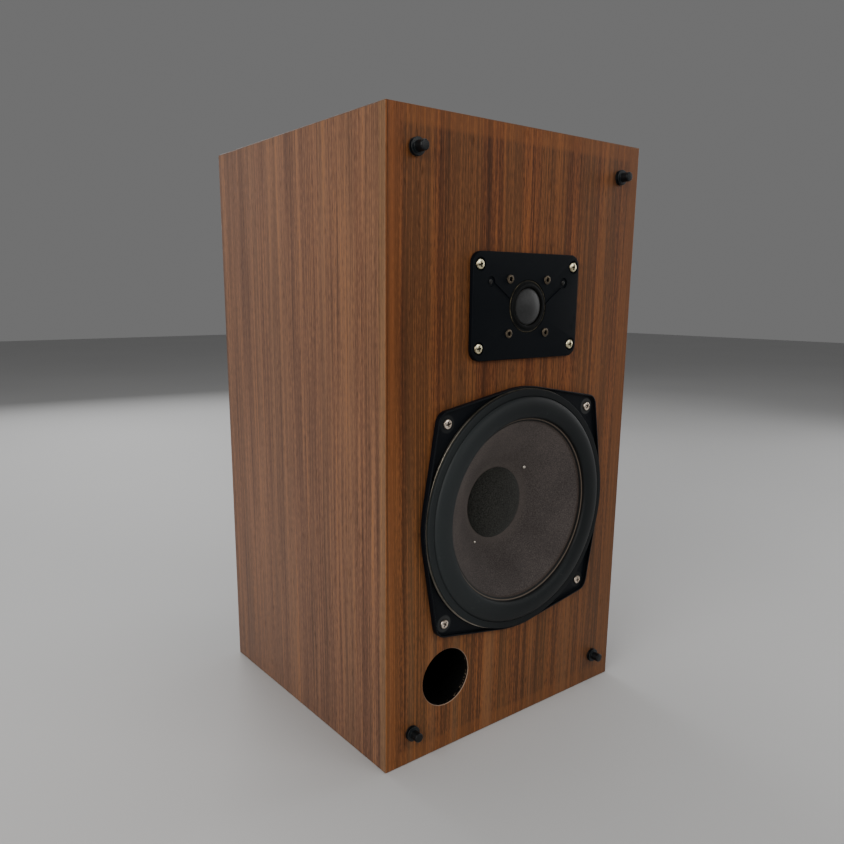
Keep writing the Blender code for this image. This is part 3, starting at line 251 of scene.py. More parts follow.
def walnut(name, across, along, seed, tones, front=False):
    """Straight-grained walnut veneer under a satin oil finish: soft wide bands, narrow streaks, fine lines,
    flecks and many short dark pores, all drawn out along the grain. across and along name the coordinates.
    tones are four woods from dark to glowing, then the dusk of pores and lines and the olive of some bands."""
    f = Finish(name, Specular_IOR_Level=0.17)
    dark, mid, light, glow, dusk, olive = tones
    coordinate = {"x": f.x, "y": f.y, "z": f.z}
    a = coordinate[across]
    b = coordinate[along]
    sway = f.noise(f.point(a * 5.0, seed, b * 2.6), detail=1.0) - 0.5
    a = a + sway * 0.0085

    def grain(fine, shift, long):
        return f.noise(f.point(a * fine, seed + shift, b * long), detail=1.0)

    bands = grain(24.0, 3.1, 0.7) - 0.5
    strips = grain(110.0, 7.7, 1.3) - 0.5
    streaks = grain(330.0, 11.3, 3.0) - 0.5
    threads = grain(800.0, 17.9, 7.0) - 0.5
    flecks = grain(900.0, 19.0, 190.0) - 0.5
    depth = bands * 0.36 + strips * 0.52 + streaks * 0.66 + threads * 1.00 + flecks * 0.58
    if front:
        low = f.rise(f.z, 0.34, 0.06)
        wide = grain(52.0, 71.0, 0.5) - 0.5
        depth = depth * (1 + low * 0.42) + wide * low * 1.05 + low * 0.06
    depth = depth + 0.5
    colour = f.shades(depth.clamped(), (0.14, dark), (0.48, mid), (0.66, light), (0.90, glow))
    tawny = f.rise(grain(44.0, 53.0, 0.8), 0.44, 0.66)
    colour = f.blend(tawny * 0.30, colour, olive)
    lines = f.rise(grain(300.0, 37.0, 2.2), 0.62, 0.74)
    colour = f.blend(lines * 0.30, colour, dusk)
    pits = f.rise(grain(980.0, 23.0, 85.0), 0.56, 0.68) * f.rise(grain(150.0, 29.0, 9.0), 0.30, 0.62)
    colour = f.blend(pits * 0.46, colour, dusk)
    upper_arris = f.rise(f.z, HEIGHT - 0.0013, HEIGHT - 0.0005)
    colour = f.blend(upper_arris * 0.6, colour, dusk)
    cloud = f.noise(f.place, 6.0, detail=1.0)
    colour = f.blend(f.rise(cloud, 0.35, 0.7) * 0.10, colour, dusk)
    if front:
        colour = front_marks(f, colour, low, wide, glow, dusk)
    else:
        colour = f.blend(f.rise(f.z, 0.20, 0.02) * 0.20, colour, dusk)
        colour = f.blend(f.rise(f.y, -0.20, 0.10) * 0.24, colour, "#8a7870")
        colour = f.blend(f.rise(f.y, FRONT + 0.0085, FRONT + 0.0055) * 0.30, colour, "#866a48")
    colour = raw_rear_edge(f, colour)
    roughness = 0.50 + threads * 0.12 + pits * 0.20
    relief = (threads * 0.35 + streaks * 0.25) - pits * 0.9
    return f.wear(colour, roughness, f.bump(relief, 0.00012, 0.45))


def front_marks(f, colour, low, wide, glow, dusk):
    """What the front shows besides its grain: paler edges, the mitre's seam, a greyer lower part, a darker
    right corner, and the raw board inside the port's mouth."""
    edge = (HALF_WIDTH - abs(f.x)).least(f.z.least(HEIGHT - f.z))
    pale = f.rise(edge, 0.0100, 0.0145, 1.0, 0.0)
    colour = f.blend(pale * 0.28, colour, glow)
    left_edge = f.rise(abs(f.x + HALF_WIDTH - 0.0055), 0.0006, 0.0034, 1.0, 0.0)
    colour = f.blend(left_edge * 0.32, colour, "#9a5a30")
    seam = f.rise(abs(f.x + HALF_WIDTH - 0.0016), 0.0002, 0.0007, 1.0, 0.0)
    colour = f.blend(seam * 0.45, colour, dusk)
    colour = f.blend(low * 0.12 + f.rise(wide, 0.0, 0.16) * low * 0.24, colour, "#80664a")
    colour = f.blend(f.rise(f.x, 0.02, 0.12) * 0.18, colour, "#6e5546")
    low_right = f.rise(f.x * 1.3 - f.z, -0.14, 0.12)
    colour = f.blend(low_right * 0.24, colour, "#4a3524")
    inside = f.rise(f.radius(PORT), 0.0246, 0.0243)
    depth = f.y - FRONT
    speck = f.noise(f.place, 620.0)
    chip = f.shades(speck, (0.42, "#090808"), (0.60, "#1d1915"), (0.70, "#8c7c69"))
    chip = f.blend(f.rise(depth, 0.0009, 0.0016), "#090808", chip)
    raw = f.blend(f.rise(depth, 0.0004, 0.0006), "#a08570", chip)
    return f.blend(inside * f.rise(depth, 0.00008, 0.0002), colour, raw)


def raw_rear_edge(f, colour):
    """Bare chipboard on the rear edges, inside the veneer's own thickness."""
    rear = f.rise(f.y, BACK - 0.00025, BACK - 0.00008)
    skin = (HALF_WIDTH - abs(f.x)).least(f.z.least(HEIGHT - f.z))
    flakes = f.noise(f.place, 560.0, roughness=0.6)
    board = f.shades(flakes, (0.32, "#54422f"), (0.50, "#7a644a"), (0.68, "#9c8361"))
    return f.blend(rear * f.rise(skin, 0.0006, 0.0008), colour, board)


def painted_board(name):
    """Chipboard under matt black paint: flakes show through as a low relief."""
    f = Finish(name)
    flakes = f.cells(f.place, 160.0)
    grey = f.noise(f.place, 220.0, detail=3.0)
    dust = f.noise(f.place, 14.0)
    colour = f.blend(grey, "#0d0d0e", "#1b1b1c")
    colour = f.blend(f.rise(dust, 0.5, 0.8) * 0.25, colour, "#3a3835")
    height = f.node("ShaderNodeRGBToBW", None, {0: flakes}) * 0.6 + grey * 0.4
    return f.wear(colour, 0.62 + dust * 0.25, f.bump(height, 0.00018, 0.5))


def moulded(name, deep, pale, roughness=0.42, grain=1400.0, specular=0.16):
    """Moulded plastic or sprayed paint: a fine leathery grain, soft blotches and paler rubbed spots."""
    f = Finish(name, Specular_IOR_Level=specular)
    skin = f.noise(f.place, grain)
    blotch = f.noise(f.place, 35.0)
    rub = f.rise(f.noise(f.place, 90.0, detail=3.0), 0.58, 0.76)
    colour = f.blend(blotch * 0.6 + skin * 0.3, deep, pale)
    return f.wear(colour, roughness + rub * 0.12 + skin * 0.08, f.bump(skin, 0.00003, 0.7))


def peg_plastic():
    """Black polythene: dull faces, a painted highlight on each collar disc's rim, and painted shade in the
    groove between.
    """
    f = Finish("peg_black", Specular_IOR_Level=0.26)
    skin = f.noise(f.place, 1100.0)
    blotch = f.noise(f.place, 160.0)
    depth = f.y - FRONT
    # painted highlight: paler lines along the front rims of the collar discs
    rim_highlight = f.rise(abs(abs(depth + 0.00195) - 0.0012), 0.0005, 0.0002)
    outwards = f.rise(depth, -0.0044, -0.0036)
    colour = f.blend(blotch * 0.5 + skin * 0.4, "#040709", "#0b1013")
    colour = f.blend(rim_highlight * outwards * 0.3, colour, "#22292c")
    # painted shade: the groove between the collar discs is blended nearly black
    groove = f.rise(abs(depth + 0.00195), 0.00055, 0.00035)
    colour = f.blend(groove, colour, "#010101")
    return f.wear(colour, 0.34 + skin * 0.14 + groove * 0.4, f.bump(skin, 0.00003, 0.6))


def flange_paint():
    """The woofer frame's blue-black paint, with a grey disc of painted light round each screw, stronger on one
    diagonal.
    """
    f = Finish("basket_paint", Specular_IOR_Level=0.13)
    grain = f.noise(f.place, 900.0, detail=3.0)
    blotch = f.noise(f.place, 40.0)
    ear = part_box("woofer_screw_top_right")
    reach = (ear[0].x + ear[1].x) / 2
    away = f.reach(abs(f.x) - reach, abs(f.z - WOOFER[1]) - reach)
    # painted light: a grey disc round each screw stands in for a lit recess floor
    lit_screw_disc = f.rise(away, 0.0074, 0.0062) * f.rise(f.y, FRONT + 0.0005, FRONT - 0.0010)
    colour = f.blend(blotch * 0.5 + grain * 0.4, "#04070b", "#0b1017")
    # the painted light is strongest at the top right and bottom left screws
    diagonal = f.rise(f.x * (f.z - WOOFER[1]), -0.002, 0.002, 0.40, 1.0)
    colour = f.blend(lit_screw_disc * diagonal * (0.45 + blotch * 0.6), colour, "#3d3e3e")
    return f.wear(colour, 0.36 + grain * 0.16 + lit_screw_disc * 0.15, f.bump(grain, 0.00004, 0.6))


def plated(name, bright, dull, roughness, tarnish):
    """Plated or bare metal: fine brushed scratches, patches of tarnish and darker pits."""
    f = Finish(name, Metallic=1.0)
    brushed = f.noise(f.point(f.x * 5200.0, f.y * 900.0, f.z * 900.0))
    patch = f.noise(f.place, 260.0, detail=3.0)
    pits = f.rise(f.noise(f.place, 1900.0, detail=1.0), 0.66, 0.76)
    colour = f.blend(f.rise(patch, 0.40, 0.72) * tarnish, bright, dull)
    colour = f.blend(pits * 0.5, colour, dull)
    return f.wear(colour, roughness + brushed * 0.12 + pits * 0.2, f.bump(brushed, 0.00001, 0.5))


def screw_nickel(name, screw, driver, bright):
    """Bright nickel with painted shade: the cross recess is dark and the head's edge darker. screw is the node
    of the set's top right screw, and the others lie in mirror image about the driver's axis."""
    place = centre_of(screw)
    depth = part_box(screw)[0].y
    f = Finish(name, Metallic=1.0)
    across = abs(f.x - driver[0]) - (place[0] - driver[0])
    up = abs(f.z - driver[1]) - (place[1] - driver[1])
    away = f.reach(across, up)
    # painted shade: the cross recess is blended nearly black
    recess_shade = f.rise(f.y, depth + 0.00030, depth + 0.00060) * f.rise(away, 0.0027, 0.0025)
    brushed = f.noise(f.place, 2600.0)
    patch = f.noise(f.place, 420.0)
    colour = f.blend(f.rise(patch, 0.46, 0.66) * 0.55, bright, "#8b7a63")
    colour = f.blend(recess_shade * 0.92, colour, "#17120d")
    # painted shade: a darker ring round the head's edge
    colour = f.blend(f.rise(away, 0.0031, 0.0034) * 0.5, colour, "#4c4133")
    return f.wear(colour, 0.22 + brushed * 0.16 + recess_shade * 0.4, f.bump(brushed, 0.00001, 0.5))


def turned_metal(name, bright, dull, centre, pitch=0.0004):
    """Metal with the fine rings that a lathe leaves, stained darker above the driver's middle."""
    f = Finish(name, Metallic=1.0)
    out = f.radius(centre)
    rings = (out * (TAU / pitch)).sine() * 0.5 + 0.5
    patch = f.noise(f.place, 120.0, detail=3.0)
    colour = f.blend(f.rise(patch, 0.38, 0.74) * 0.5, bright, dull)
    colour = f.blend(f.rise(f.z - centre[1], 0.062, 0.088) * 0.8, colour, "#191817")
    return f.wear(colour, 0.30 + rings * 0.12 + patch * 0.12, f.bump(rings, 0.00001, 0.5))


def rubber(name, deep, pale, roughness):
    """Butyl rubber: fine skin, faint mould rings, a trace of dust in the low places and a painted sheen on the
    left side.
    """
    f = Finish(name, Specular_IOR_Level=0.19)
    out = f.radius(WOOFER)
    skin = f.noise(f.place, 1500.0)
    smear = f.noise(f.place, 26.0, detail=3.0)
    rings = (out * (TAU / 0.0021)).sine() * 0.5 + 0.5
    colour = f.blend(smear * 0.6 + skin * 0.25, deep, pale)
    dust = f.rise(f.noise(f.place, 600.0), 0.62, 0.78) * f.rise(smear, 0.45, 0.75)
    colour = f.blend(dust * 0.25, colour, "#6b6a66")
    ragged = (f.noise(f.place, 520.0) - 0.5) * 0.0008
    lip = f.rise(out + ragged, 0.0764, 0.0757)
    colour = f.blend(lip * 0.8, colour, "#0d0b0a")
    # painted reflection: the left side of the rubber is blended towards a pale blue-grey sheen
    bloom_and_sheen = f.rise(f.x, 0.01, -0.09)
    colour = f.blend(bloom_and_sheen * 0.30, colour, "#3f4445")
    bead = f.rise(abs(out + ragged * 0.3 - 0.0750), 0.0006, 0.0001)
    colour = f.blend(bead * 0.9, colour, "#665a4e")
    return f.wear(colour, roughness + smear * 0.12 + dust * 0.2, f.bump(skin + rings * 0.3, 0.00002, 0.5))


def cone_paper():
    """Coated pulp paper: radial fibres, cloudy blotches, painted light that pales the upper left, and a duller
    brown rim where the glue soaked in.
    """
    f = Finish("cone_paper", Specular_IOR_Level=0.2)
    out = f.radius(WOOFER)
    turn = f.bearing(WOOFER)
    fibres = f.noise(f.point(out * 260.0, turn * 34.0, 2.0), detail=3.0, roughness=0.65)
    pulp = f.noise(f.place, 1050.0, roughness=0.6)
    cloud = f.noise(f.place, 34.0, detail=3.0)
    # painted light: the tone rises towards the upper left, where the light falls
    upper_left_light = f.rise(f.z - WOOFER[1] - f.x * 0.8, -0.08, 0.08)
    tone = pulp * 0.80 + fibres * 0.10 + cloud * 0.26 + upper_left_light * 0.22 - 0.17
    colour = f.shades(tone.clamped(), (0.24, "#35302f"), (0.50, "#4d4745"), (0.78, "#655d59"))
    rim = f.rise(out, 0.0712, 0.0736)
    colour = f.blend(rim * 0.45, colour, "#3b2e25")
    collar = f.rise(out, 0.0400, 0.0290)
    colour = f.blend(collar * 0.35, colour, "#6b635d")
    return f.wear(colour, 0.82 + pulp * 0.12, f.bump(pulp + fibres * 0.5, 0.00010, 0.55))


def flock(name, deep, pale):
    """Flocked or woven cloth with a dusty nap."""
    f = Finish(name, Sheen_Weight=0.12, Sheen_Roughness=0.5, Specular_IOR_Level=0.15)
    nap = f.noise(f.place, 900.0, roughness=0.7)
    cloud = f.noise(f.place, 60.0, detail=3.0)
    out = f.radius(WOOFER)
    colour = f.blend(f.rise(nap, 0.30, 0.72) * 0.75 + cloud * 0.25, deep, pale)
    lint = f.rise(f.noise(f.place, 900.0, detail=1.0), 0.70, 0.78)
    colour = f.blend(lint * 0.35 + f.rise(out, 0.0, 0.03) * 0.05, colour, "#4a4a45")
    return f.wear(colour, 0.85 + nap * 0.12, f.bump(nap, 0.00014, 0.7))


def woven(name, deep, pale, thread, roughness, specular):
    """Tight plain weave: two crossed sets of threads, doped with a slightly shiny coating."""
    f = Finish(name, Sheen_Weight=0.1, Specular_IOR_Level=specular)
    warp = (f.x * (TAU / thread)).sine()
    weft = (f.z * (TAU / thread)).sine()
    weave = (warp * weft) * 0.5 + 0.5
    uneven = f.noise(f.place, 480.0)
    colour = f.blend(f.rise(weave * 0.35 + uneven * 0.65, 0.25, 0.75), deep, pale)
    relief = weave * 0.6 + uneven * 0.4
    return f.wear(colour, roughness + weave * 0.15 + uneven * 0.1, f.bump(relief, 0.00004, 0.6))


def tweeter_edge_cloth():
    """The tweeter's roll and lip: grey doped cloth whose outer edge is ragged and brassy with old glue, and
    whose inner foot by the dome is painted near black as shade.
    """
    f = Finish("tweeter_edge_cloth", Specular_IOR_Level=0.10)
    out = f.radius(TWEETER)
    ragged = f.noise(f.place, 700.0, detail=3.0) - 0.5
    nap = f.noise(f.place, 2600.0)
    colour = f.blend(f.rise(nap, 0.3, 0.7), "#050607", "#131414")
    glue = f.rise(out + ragged * 0.0012, 0.0190, 0.0193)
    patchy = f.rise(f.noise(f.place, 110.0, detail=1.0), 0.36, 0.56, 0.15, 1.0)
    colour = f.blend(glue * patchy * 0.9, colour, "#6f6650")
    inner = extent("tweeter_dome")[0]
    # painted shade: the roll's inner foot next to the dome is blended nearly black
    colour = f.blend(f.rise(out, inner + 0.0016, inner + 0.0009), colour, "#040404")
    return f.wear(colour, 0.50 + nap * 0.2, f.bump(nap + glue * 0.6, 0.00008, 0.6))


def windings(name, bright, dull, pitch):
    """Enamelled wire laid turn beside turn along Y."""
    f = Finish(name, Metallic=0.9)
    turns = (f.y * (TAU / pitch)).sine() * 0.5 + 0.5
    patch = f.noise(f.place, 150.0)
    colour = f.blend((1 - turns) * 0.6 + patch * 0.3, bright, dull)
    return f.wear(colour, 0.28 + patch * 0.2, f.bump(turns, 0.00012, 0.8))


def ferrite():
    """Pressed and ground ferrite, with pale chipped grains."""
    f = Finish("ferrite_grey")
    grain = f.noise(f.place, 700.0, detail=4.0)
    chips = f.rise(f.noise(f.place, 130.0), 0.66, 0.72)
    colour = f.blend(grain, "#1d1d1f", "#38383b")
    colour = f.blend(chips * 0.5, colour, "#55555a")
    return f.wear(colour, 0.55 + grain * 0.25, f.bump(grain - chips, 0.00010, 0.6))


def circuit_board():
    """Pressed fibre board with a faint weave and flux stains."""
    f = Finish("fibre_board")
    weave = (f.x * 5200.0).sine() * (f.z * 5200.0).sine() * 0.5 + 0.5
    stain = f.noise(f.place, 45.0, detail=3.0)
    colour = f.blend(weave * 0.3 + stain * 0.6, "#4a3b1d", "#7a6333")
    return f.wear(colour, 0.5 + stain * 0.2, f.bump(weave, 0.00003, 0.5))


def cable_skin():
    """Extruded cable insulation with a dusty bloom."""
    f = Finish("cable_skin")
    bloom_and_sheen = f.noise(f.place, 120.0, detail=3.0)
    colour = f.blend(bloom_and_sheen, "#0e0e0f", "#242425")
    return f.wear(colour, 0.48 + bloom_and_sheen * 0.25, f.bump(bloom_and_sheen, 0.00006, 0.4))


def wool():
    """Loose white polyester wool: soft fibres in clumps."""
    f = Finish("white_wool", Sheen_Weight=0.4)
    fibres = f.noise(f.place, 420.0, detail=5.0, roughness=0.75, distortion=2.5)
    clump = f.noise(f.place, 40.0)
    colour = f.blend(fibres * 0.5 + clump * 0.4, "#a9a69c", "#f0eee8")
    return f.wear(colour, 0.95, f.bump(fibres + clump, 0.0020, 0.8))


FRONT_TONES = ("#42240f", "#61361b", "#804b27", "#94582c", "#291508", "#6b4a29")
SIDE_TONES = ("#4d3224", "#76513c", "#926649", "#a56e43", "#36231a", "#7c5d45")
TOP_TONES = ("#4a2c1c", "#74482e", "#91603e", "#a3653a", "#352014", "#7b5a3c")
WALNUT_FRONT = walnut("walnut_front", "x", "z", 2.0, FRONT_TONES, front=True)
WALNUT_SIDE = walnut("walnut_side", "y", "z", 14.0, SIDE_TONES)
WALNUT_TOP = walnut("walnut_top", "y", "x", 31.0, TOP_TONES)
BOARD_BLACK = painted_board("board_black")
BASKET_PAINT = flange_paint()
PLATE_BLACK = moulded("plate_black", "#04070b", "#0a0f15", 0.50, 1300.0, specular=0.085)
PEG_BLACK = peg_plastic()
PORT_BLACK = moulded("port_black", "#040404", "#0a0a09", 0.60, specular=0.10)
CUP_BLACK = moulded("cup_black", "#0c0c0d", "#1e1e20", 0.45)
LEVER_BLACK = moulded("lever_black", "#101012", "#242427", 0.35)
LEVER_RED = moulded("lever_red", "#8f1210", "#c2231b", 0.33, specular=0.4)
TAB_BLACK = moulded("tab_black", "#070707", "#1d1a15", 0.35, 700.0, specular=0.3)
YELLOW_FILM = moulded("yellow_film", "#b08a1c", "#d9b23a", 0.30, 600.0)
WOOFER_SCREW = screw_nickel("woofer_screw_nickel", "woofer_screw_top_right", WOOFER, "#f0e0cf")
TWEETER_SCREW = screw_nickel("tweeter_screw_nickel", "tweeter_screw_top_right", TWEETER, "#ece2bd")
EYELET = plated("eyelet_nickel", "#f2e9dc", "#a79a88", 0.32, tarnish=0.25)
ZINC_SCREW = plated("zinc_screw", "#a9a89f", "#5c5a50", 0.30, tarnish=0.5)
BRASS = plated("dull_brass", "#6e6354", "#2e2820", 0.36, tarnish=0.8)
BARE_RING = turned_metal("bare_ring", "#aaa295", "#615a4e", WOOFER)
ZINC = turned_metal("zinc_plate", "#b5b5b0", "#84847c", WOOFER)
ZINC_SMALL = turned_metal("zinc_plate_small", "#b5b5b0", "#84847c", TWEETER, 0.0003)
SURROUND_RUBBER = rubber("surround_rubber", "#101314", "#1e2224", 0.47)
GASKET_RUBBER = rubber("gasket_rubber", "#0b0e10", "#171b1d", 0.60)
CONE_PAPER = cone_paper()
CAP_FLOCK = flock("cap_flock", "#0b0b0a", "#40403c")
DOME_CLOTH = woven("dome_cloth", "#0c0d0e", "#232425", 0.00045, roughness=0.44, specular=0.42)
EDGE_CLOTH = tweeter_edge_cloth()
SPIDER_CLOTH = woven("spider_cloth", "#7a5220", "#b9853d", 0.0009, roughness=0.75, specular=0.3)
COPPER_COIL = windings("copper_coil", "#c7703d", "#6e3517", 0.0005)
COPPER_BRAID = windings("copper_braid", "#b87a4c", "#5c3b22", 0.0009)
FERRITE = ferrite()
FIBRE_BOARD = circuit_board()
CABLE_SKIN = cable_skin()
WOOL = wool()


# ---------------------------------------------------------------- mesh building

def settle(mesh, name, finish, body, nodes, smooth=True):
    """Turns a mesh into a piece that rides on a body and stands for its CAD nodes."""
    if smooth:
        mesh.shade_smooth()
        mesh.set_sharp_from_angle(angle=math.radians(35))
    mesh.materials.clear()
    mesh.materials.append(finish)
    piece = bpy.data.objects.new(name, mesh)
    bpy.context.scene.collection.objects.link(piece)
    if body:
        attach(piece, body)
    if nodes:
        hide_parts(*nodes)
    return piece


def grid_mesh(name, grid, closed_rows=True, caps=False):
    """A mesh over a grid of points, with quads between neighbouring rows and columns. Columns close on
    themselves and rows may; points that fall together, as at a pole, are merged; caps fills the end rows."""
    rows, columns = grid.shape[:2]
    index = np.arange(rows * columns).reshape(rows, columns)
    if closed_rows:
        index = np.concatenate([index, index[:1]])
    index = np.concatenate([index, index[:, :1]], axis=1)
    quads = np.stack([index[:-1, :-1], index[:-1, 1:], index[1:, 1:], index[1:, :-1]], axis=-1).reshape(-1, 4)
    faces = quads.tolist()
    if caps:
        faces.append(index[0, :columns].tolist()[::-1])
        faces.append(index[-1, :columns].tolist())
    mesh = bpy.data.meshes.new(name)
    mesh.from_pydata(grid.reshape(-1, 3).tolist(), [], faces)
    tidy(mesh)
    return mesh


def prism(name, outlines):
    """A closed body through like outlines, capped at both ends."""
    return grid_mesh(name, np.array(outlines), closed_rows=False, caps=True)


def tidy(mesh, distance=1e-6):
    """Merges doubles and points the faces outwards."""
    bm = bmesh.new()
    bm.from_mesh(mesh)
    bmesh.ops.remove_doubles(bm, verts=bm.verts, dist=distance)
    bmesh.ops.dissolve_degenerate(bm, edges=bm.edges, dist=distance / 10)
    bmesh.ops.recalc_face_normals(bm, faces=bm.faces)
    bm.to_mesh(mesh)
    bm.free()


def vectors(items, key):
    """One vector property of all of a mesh's points or faces, a row each."""
    values = np.zeros(len(items) * 3)
    items.foreach_get(key, values)
    return values.reshape(-1, 3)


def around(profile, centre, count):
    """A profile turned about a driver's axis: x = r cos a, z = r sin a about the centre, y = front + depth."""
    profile = np.asarray(profile, float)
    a = np.linspace(0, TAU, count, endpoint=False)[None, :]
    r = profile[:, :1]
    depth = profile[:, 1:2] + 0 * a
    return np.stack([centre[0] + r * np.cos(a), FRONT + depth, centre[1] + r * np.sin(a)], axis=-1)


def rounded(profile, radius, steps=4, closed=True):
    """Each corner of a polyline replaced by a quadratic curve that starts and ends radius away from it, or
    at 45% of a shorter side: (1-t)^2 before + 2t(1-t) corner + t^2 after."""
    p = np.asarray(profile, float)
    radii = np.broadcast_to(np.asarray(radius, float), len(p))[:, None]
    before = np.roll(p, 1, axis=0) - p
    after = np.roll(p, -1, axis=0) - p
    to_before = np.linalg.norm(before, axis=1, keepdims=True)
    to_after = np.linalg.norm(after, axis=1, keepdims=True)
    start = p + before / to_before * np.minimum(radii, 0.45 * to_before)
    end = p + after / to_after * np.minimum(radii, 0.45 * to_after)
    t = np.linspace(0, 1, steps + 1)[None, :, None]
    arcs = (1 - t) ** 2 * start[:, None] + 2 * t * (1 - t) * p[:, None] + t ** 2 * end[:, None]
    if closed:
        return arcs.reshape(-1, p.shape[1])
    return np.concatenate([p[:1], arcs[1:-1].reshape(-1, p.shape[1]), p[-1:]])


def normals_of(line):
    """Unit normals along a line of points in a plane: the slope turned by a quarter."""
    slope = np.gradient(line, axis=0)
    slope /= np.linalg.norm(slope, axis=1, keepdims=True)
    return np.stack([-slope[:, 1], slope[:, 0]], axis=1)


def sheet_profile(line, thickness):
    """A closed profile round a thin sheet: the line without repeated points, then the same line moved by the
    thickness along its normal."""
    line = np.asarray(line, float)
    apart = np.linalg.norm(np.diff(line, axis=0), axis=1) > 1e-9
    line = line[np.concatenate([[True], apart])]
    return np.concatenate([line, (line + normals_of(line) * thickness)[::-1]])


def turned(name, profile, finish, centre, count, nodes, body="cabinet", ring=True):
    """A turned piece; a ring's profile closes on itself, any other runs from pole to pole."""
    mesh = grid_mesh(name, around(profile, centre, count), closed_rows=ring)
    return settle(mesh, name, finish, body, nodes)


def carve(piece, cutters, angle=None):
    """Cuts the meshes of cutters out of a piece for good, removes the cutters, and marks as sharp the edges
    past an angle in degrees."""
    stand_ins = []
    for number, mesh in enumerate(cutters):
        stand_in = bpy.data.objects.new(f"cutter_{number}", mesh)
        bpy.context.scene.collection.objects.link(stand_in)
        step = piece.modifiers.new(stand_in.name, "BOOLEAN")
        step.operation = "DIFFERENCE"
        step.solver = "EXACT"
        step.object = stand_in
        stand_ins.append(stand_in)
    bpy.context.view_layer.update()
    cut = bpy.data.meshes.new_from_object(piece.evaluated_get(bpy.context.evaluated_depsgraph_get()))
    piece.modifiers.clear()
    old = piece.data
    piece.data = cut
    cut.name = old.name
    bpy.data.meshes.remove(old)
    for stand_in in stand_ins:
        mesh = stand_in.data
        bpy.data.objects.remove(stand_in)
        bpy.data.meshes.remove(mesh)
    if angle:
        cut.set_sharp_from_angle(angle=math.radians(angle))


def drill(centre, profile, count):
    """A turned cutter from pole to pole."""
    return grid_mesh("drill", around(profile, centre, count), closed_rows=False)


def bore(centre, radius, depth, count):
    """A plain round cutter from 10 mm in front of the baffle's face down to a depth."""
    return drill(centre, [(0, -0.01), (radius, -0.01), (radius, depth), (0, depth)], count)


def bar(turn, length, width):
    """Corners of a rectangle about the origin, turned by an angle. length and width are half sizes."""
    along = np.array([math.cos(turn), math.sin(turn)])
    sideways = np.array([-math.sin(turn), math.cos(turn)])
    signs = ((-1, -1), (1, -1), (1, 1), (-1, 1))
    return np.array([along * length * s + sideways * width * t for s, t in signs])


def circle_arc(radius, start, end):
    """Thirteen points of a circle from one angle to another."""
    a = np.linspace(start, end, 13)[:, None]
    return radius * np.concatenate([np.cos(a), np.sin(a)], axis=1)


def ear_outline(ring_radius, reach, ear_radius):
    """Ring with four corner ears: arcs of the ear's radius about each screw, arcs of the ring's radius
    between them, and the tangents that touch both."""
    diagonal = reach * math.sqrt(2)
    lean = math.acos((ring_radius - ear_radius) / diagonal)
    quarter = math.pi / 2
    share = np.linspace(0, 1, 14)[1:-1, None]
    parts = []
    for turn in range(4):
        middle = quarter * (turn + 0.5)
        following = middle + quarter
        ear = diagonal * np.array([math.cos(middle), math.sin(middle)])
        parts.append(ear + circle_arc(ear_radius, middle - lean, middle + lean))
        start = parts[-1][-1]
        arc = circle_arc(ring_radius, middle + lean, middle + quarter - lean)
        parts.append(start + (arc[0] - start) * share)
        parts.append(arc)
        next_ear = diagonal * np.array([math.cos(following), math.sin(following)])
        c = following - lean
        landing = next_ear + ear_radius * np.array([math.cos(c), math.sin(c)])
        parts.append(arc[-1] + (landing - arc[-1]) * share)
    return np.concatenate(parts)


def rounded_rectangle(half_width, half_height, corner, corner_steps=10, side_steps=12):
    """Corner arcs joined by straight sides, counter-clockwise."""
    parts = []
    for turn in range(4):
        a = np.linspace(0, math.pi / 2, corner_steps + 1) + turn * math.pi / 2
        middle = math.pi / 4 + turn * math.pi / 2
        x = math.copysign(half_width - corner, math.cos(middle))
        z = math.copysign(half_height - corner, math.sin(middle))
        parts.append(np.stack([x + corner * np.cos(a), z + corner * np.sin(a)], axis=1))
    filled = []
    share = np.linspace(0, 1, side_steps + 1)[1:-1, None]
    for part, after in zip(parts, parts[1:] + parts[:1]):
        filled.append(part)
        filled.append(part[-1] + (after[0] - part[-1]) * share)
    return np.concatenate(filled)


def level(outline, depth, centre):
    """Points of a flat outline at a depth, about a centre."""
    y = np.full(len(outline), FRONT + depth)
    return np.stack([centre[0] + outline[:, 0], y, centre[1] + outline[:, 1]], axis=1)


def circle_like(outline, radius):
    """A circle with a point at the same bearing as each point of an outline."""
    bearing = np.arctan2(outline[:, 1], outline[:, 0])
    return radius * np.stack([np.cos(bearing), np.sin(bearing)], axis=1)


# ---------------------------------------------------------------- cabinet

def panel_rings(axis, outward, face, spans, mitred):
    """Rings of a veneered panel from its outer face inwards. Each ring is a rectangle; a mitred side moves in
    by as much as the ring is deep, a square side stays, and both start with a quarter of a rounded arris.
    spans are the two other axes' ranges, and mitred says which of their four ends are mitred."""
    arris = 0.0011
    turn = np.linspace(0, math.pi / 4, 5)
    late = np.linspace(math.pi / 4, math.pi / 2, 4)[1:]
    arc_in = arris * (1 - np.sin(turn))
    depths = np.concatenate([arris * (1 - np.cos(turn)), arris * (1 - np.cos(late)), [PANEL]])
    crossing = arris * (1 - math.cos(math.pi / 4))
    mitre_in = np.concatenate([arc_in, depths[5:] - crossing + arc_in[-1]])
    square_in = np.concatenate([arc_in, arris * (1 - np.sin(late)), [0.0]])
    insets = [mitre_in if m else square_in for m in mitred]
    (u_low, u_high), (v_low, v_high) = spans
    u0 = u_low + insets[0]
    u1 = u_high - insets[1]
    v0 = v_low + insets[2]
    v1 = v_high - insets[3]
    rings = np.zeros((len(depths), 4, 3))
    others = [i for i in range(3) if i != axis]
    for number, (u, v) in enumerate([(u0, v0), (u1, v0), (u1, v1), (u0, v1)]):
        rings[:, number, axis] = face - outward * depths
        rings[:, number, others[0]] = u
        rings[:, number, others[1]] = v
    return rings


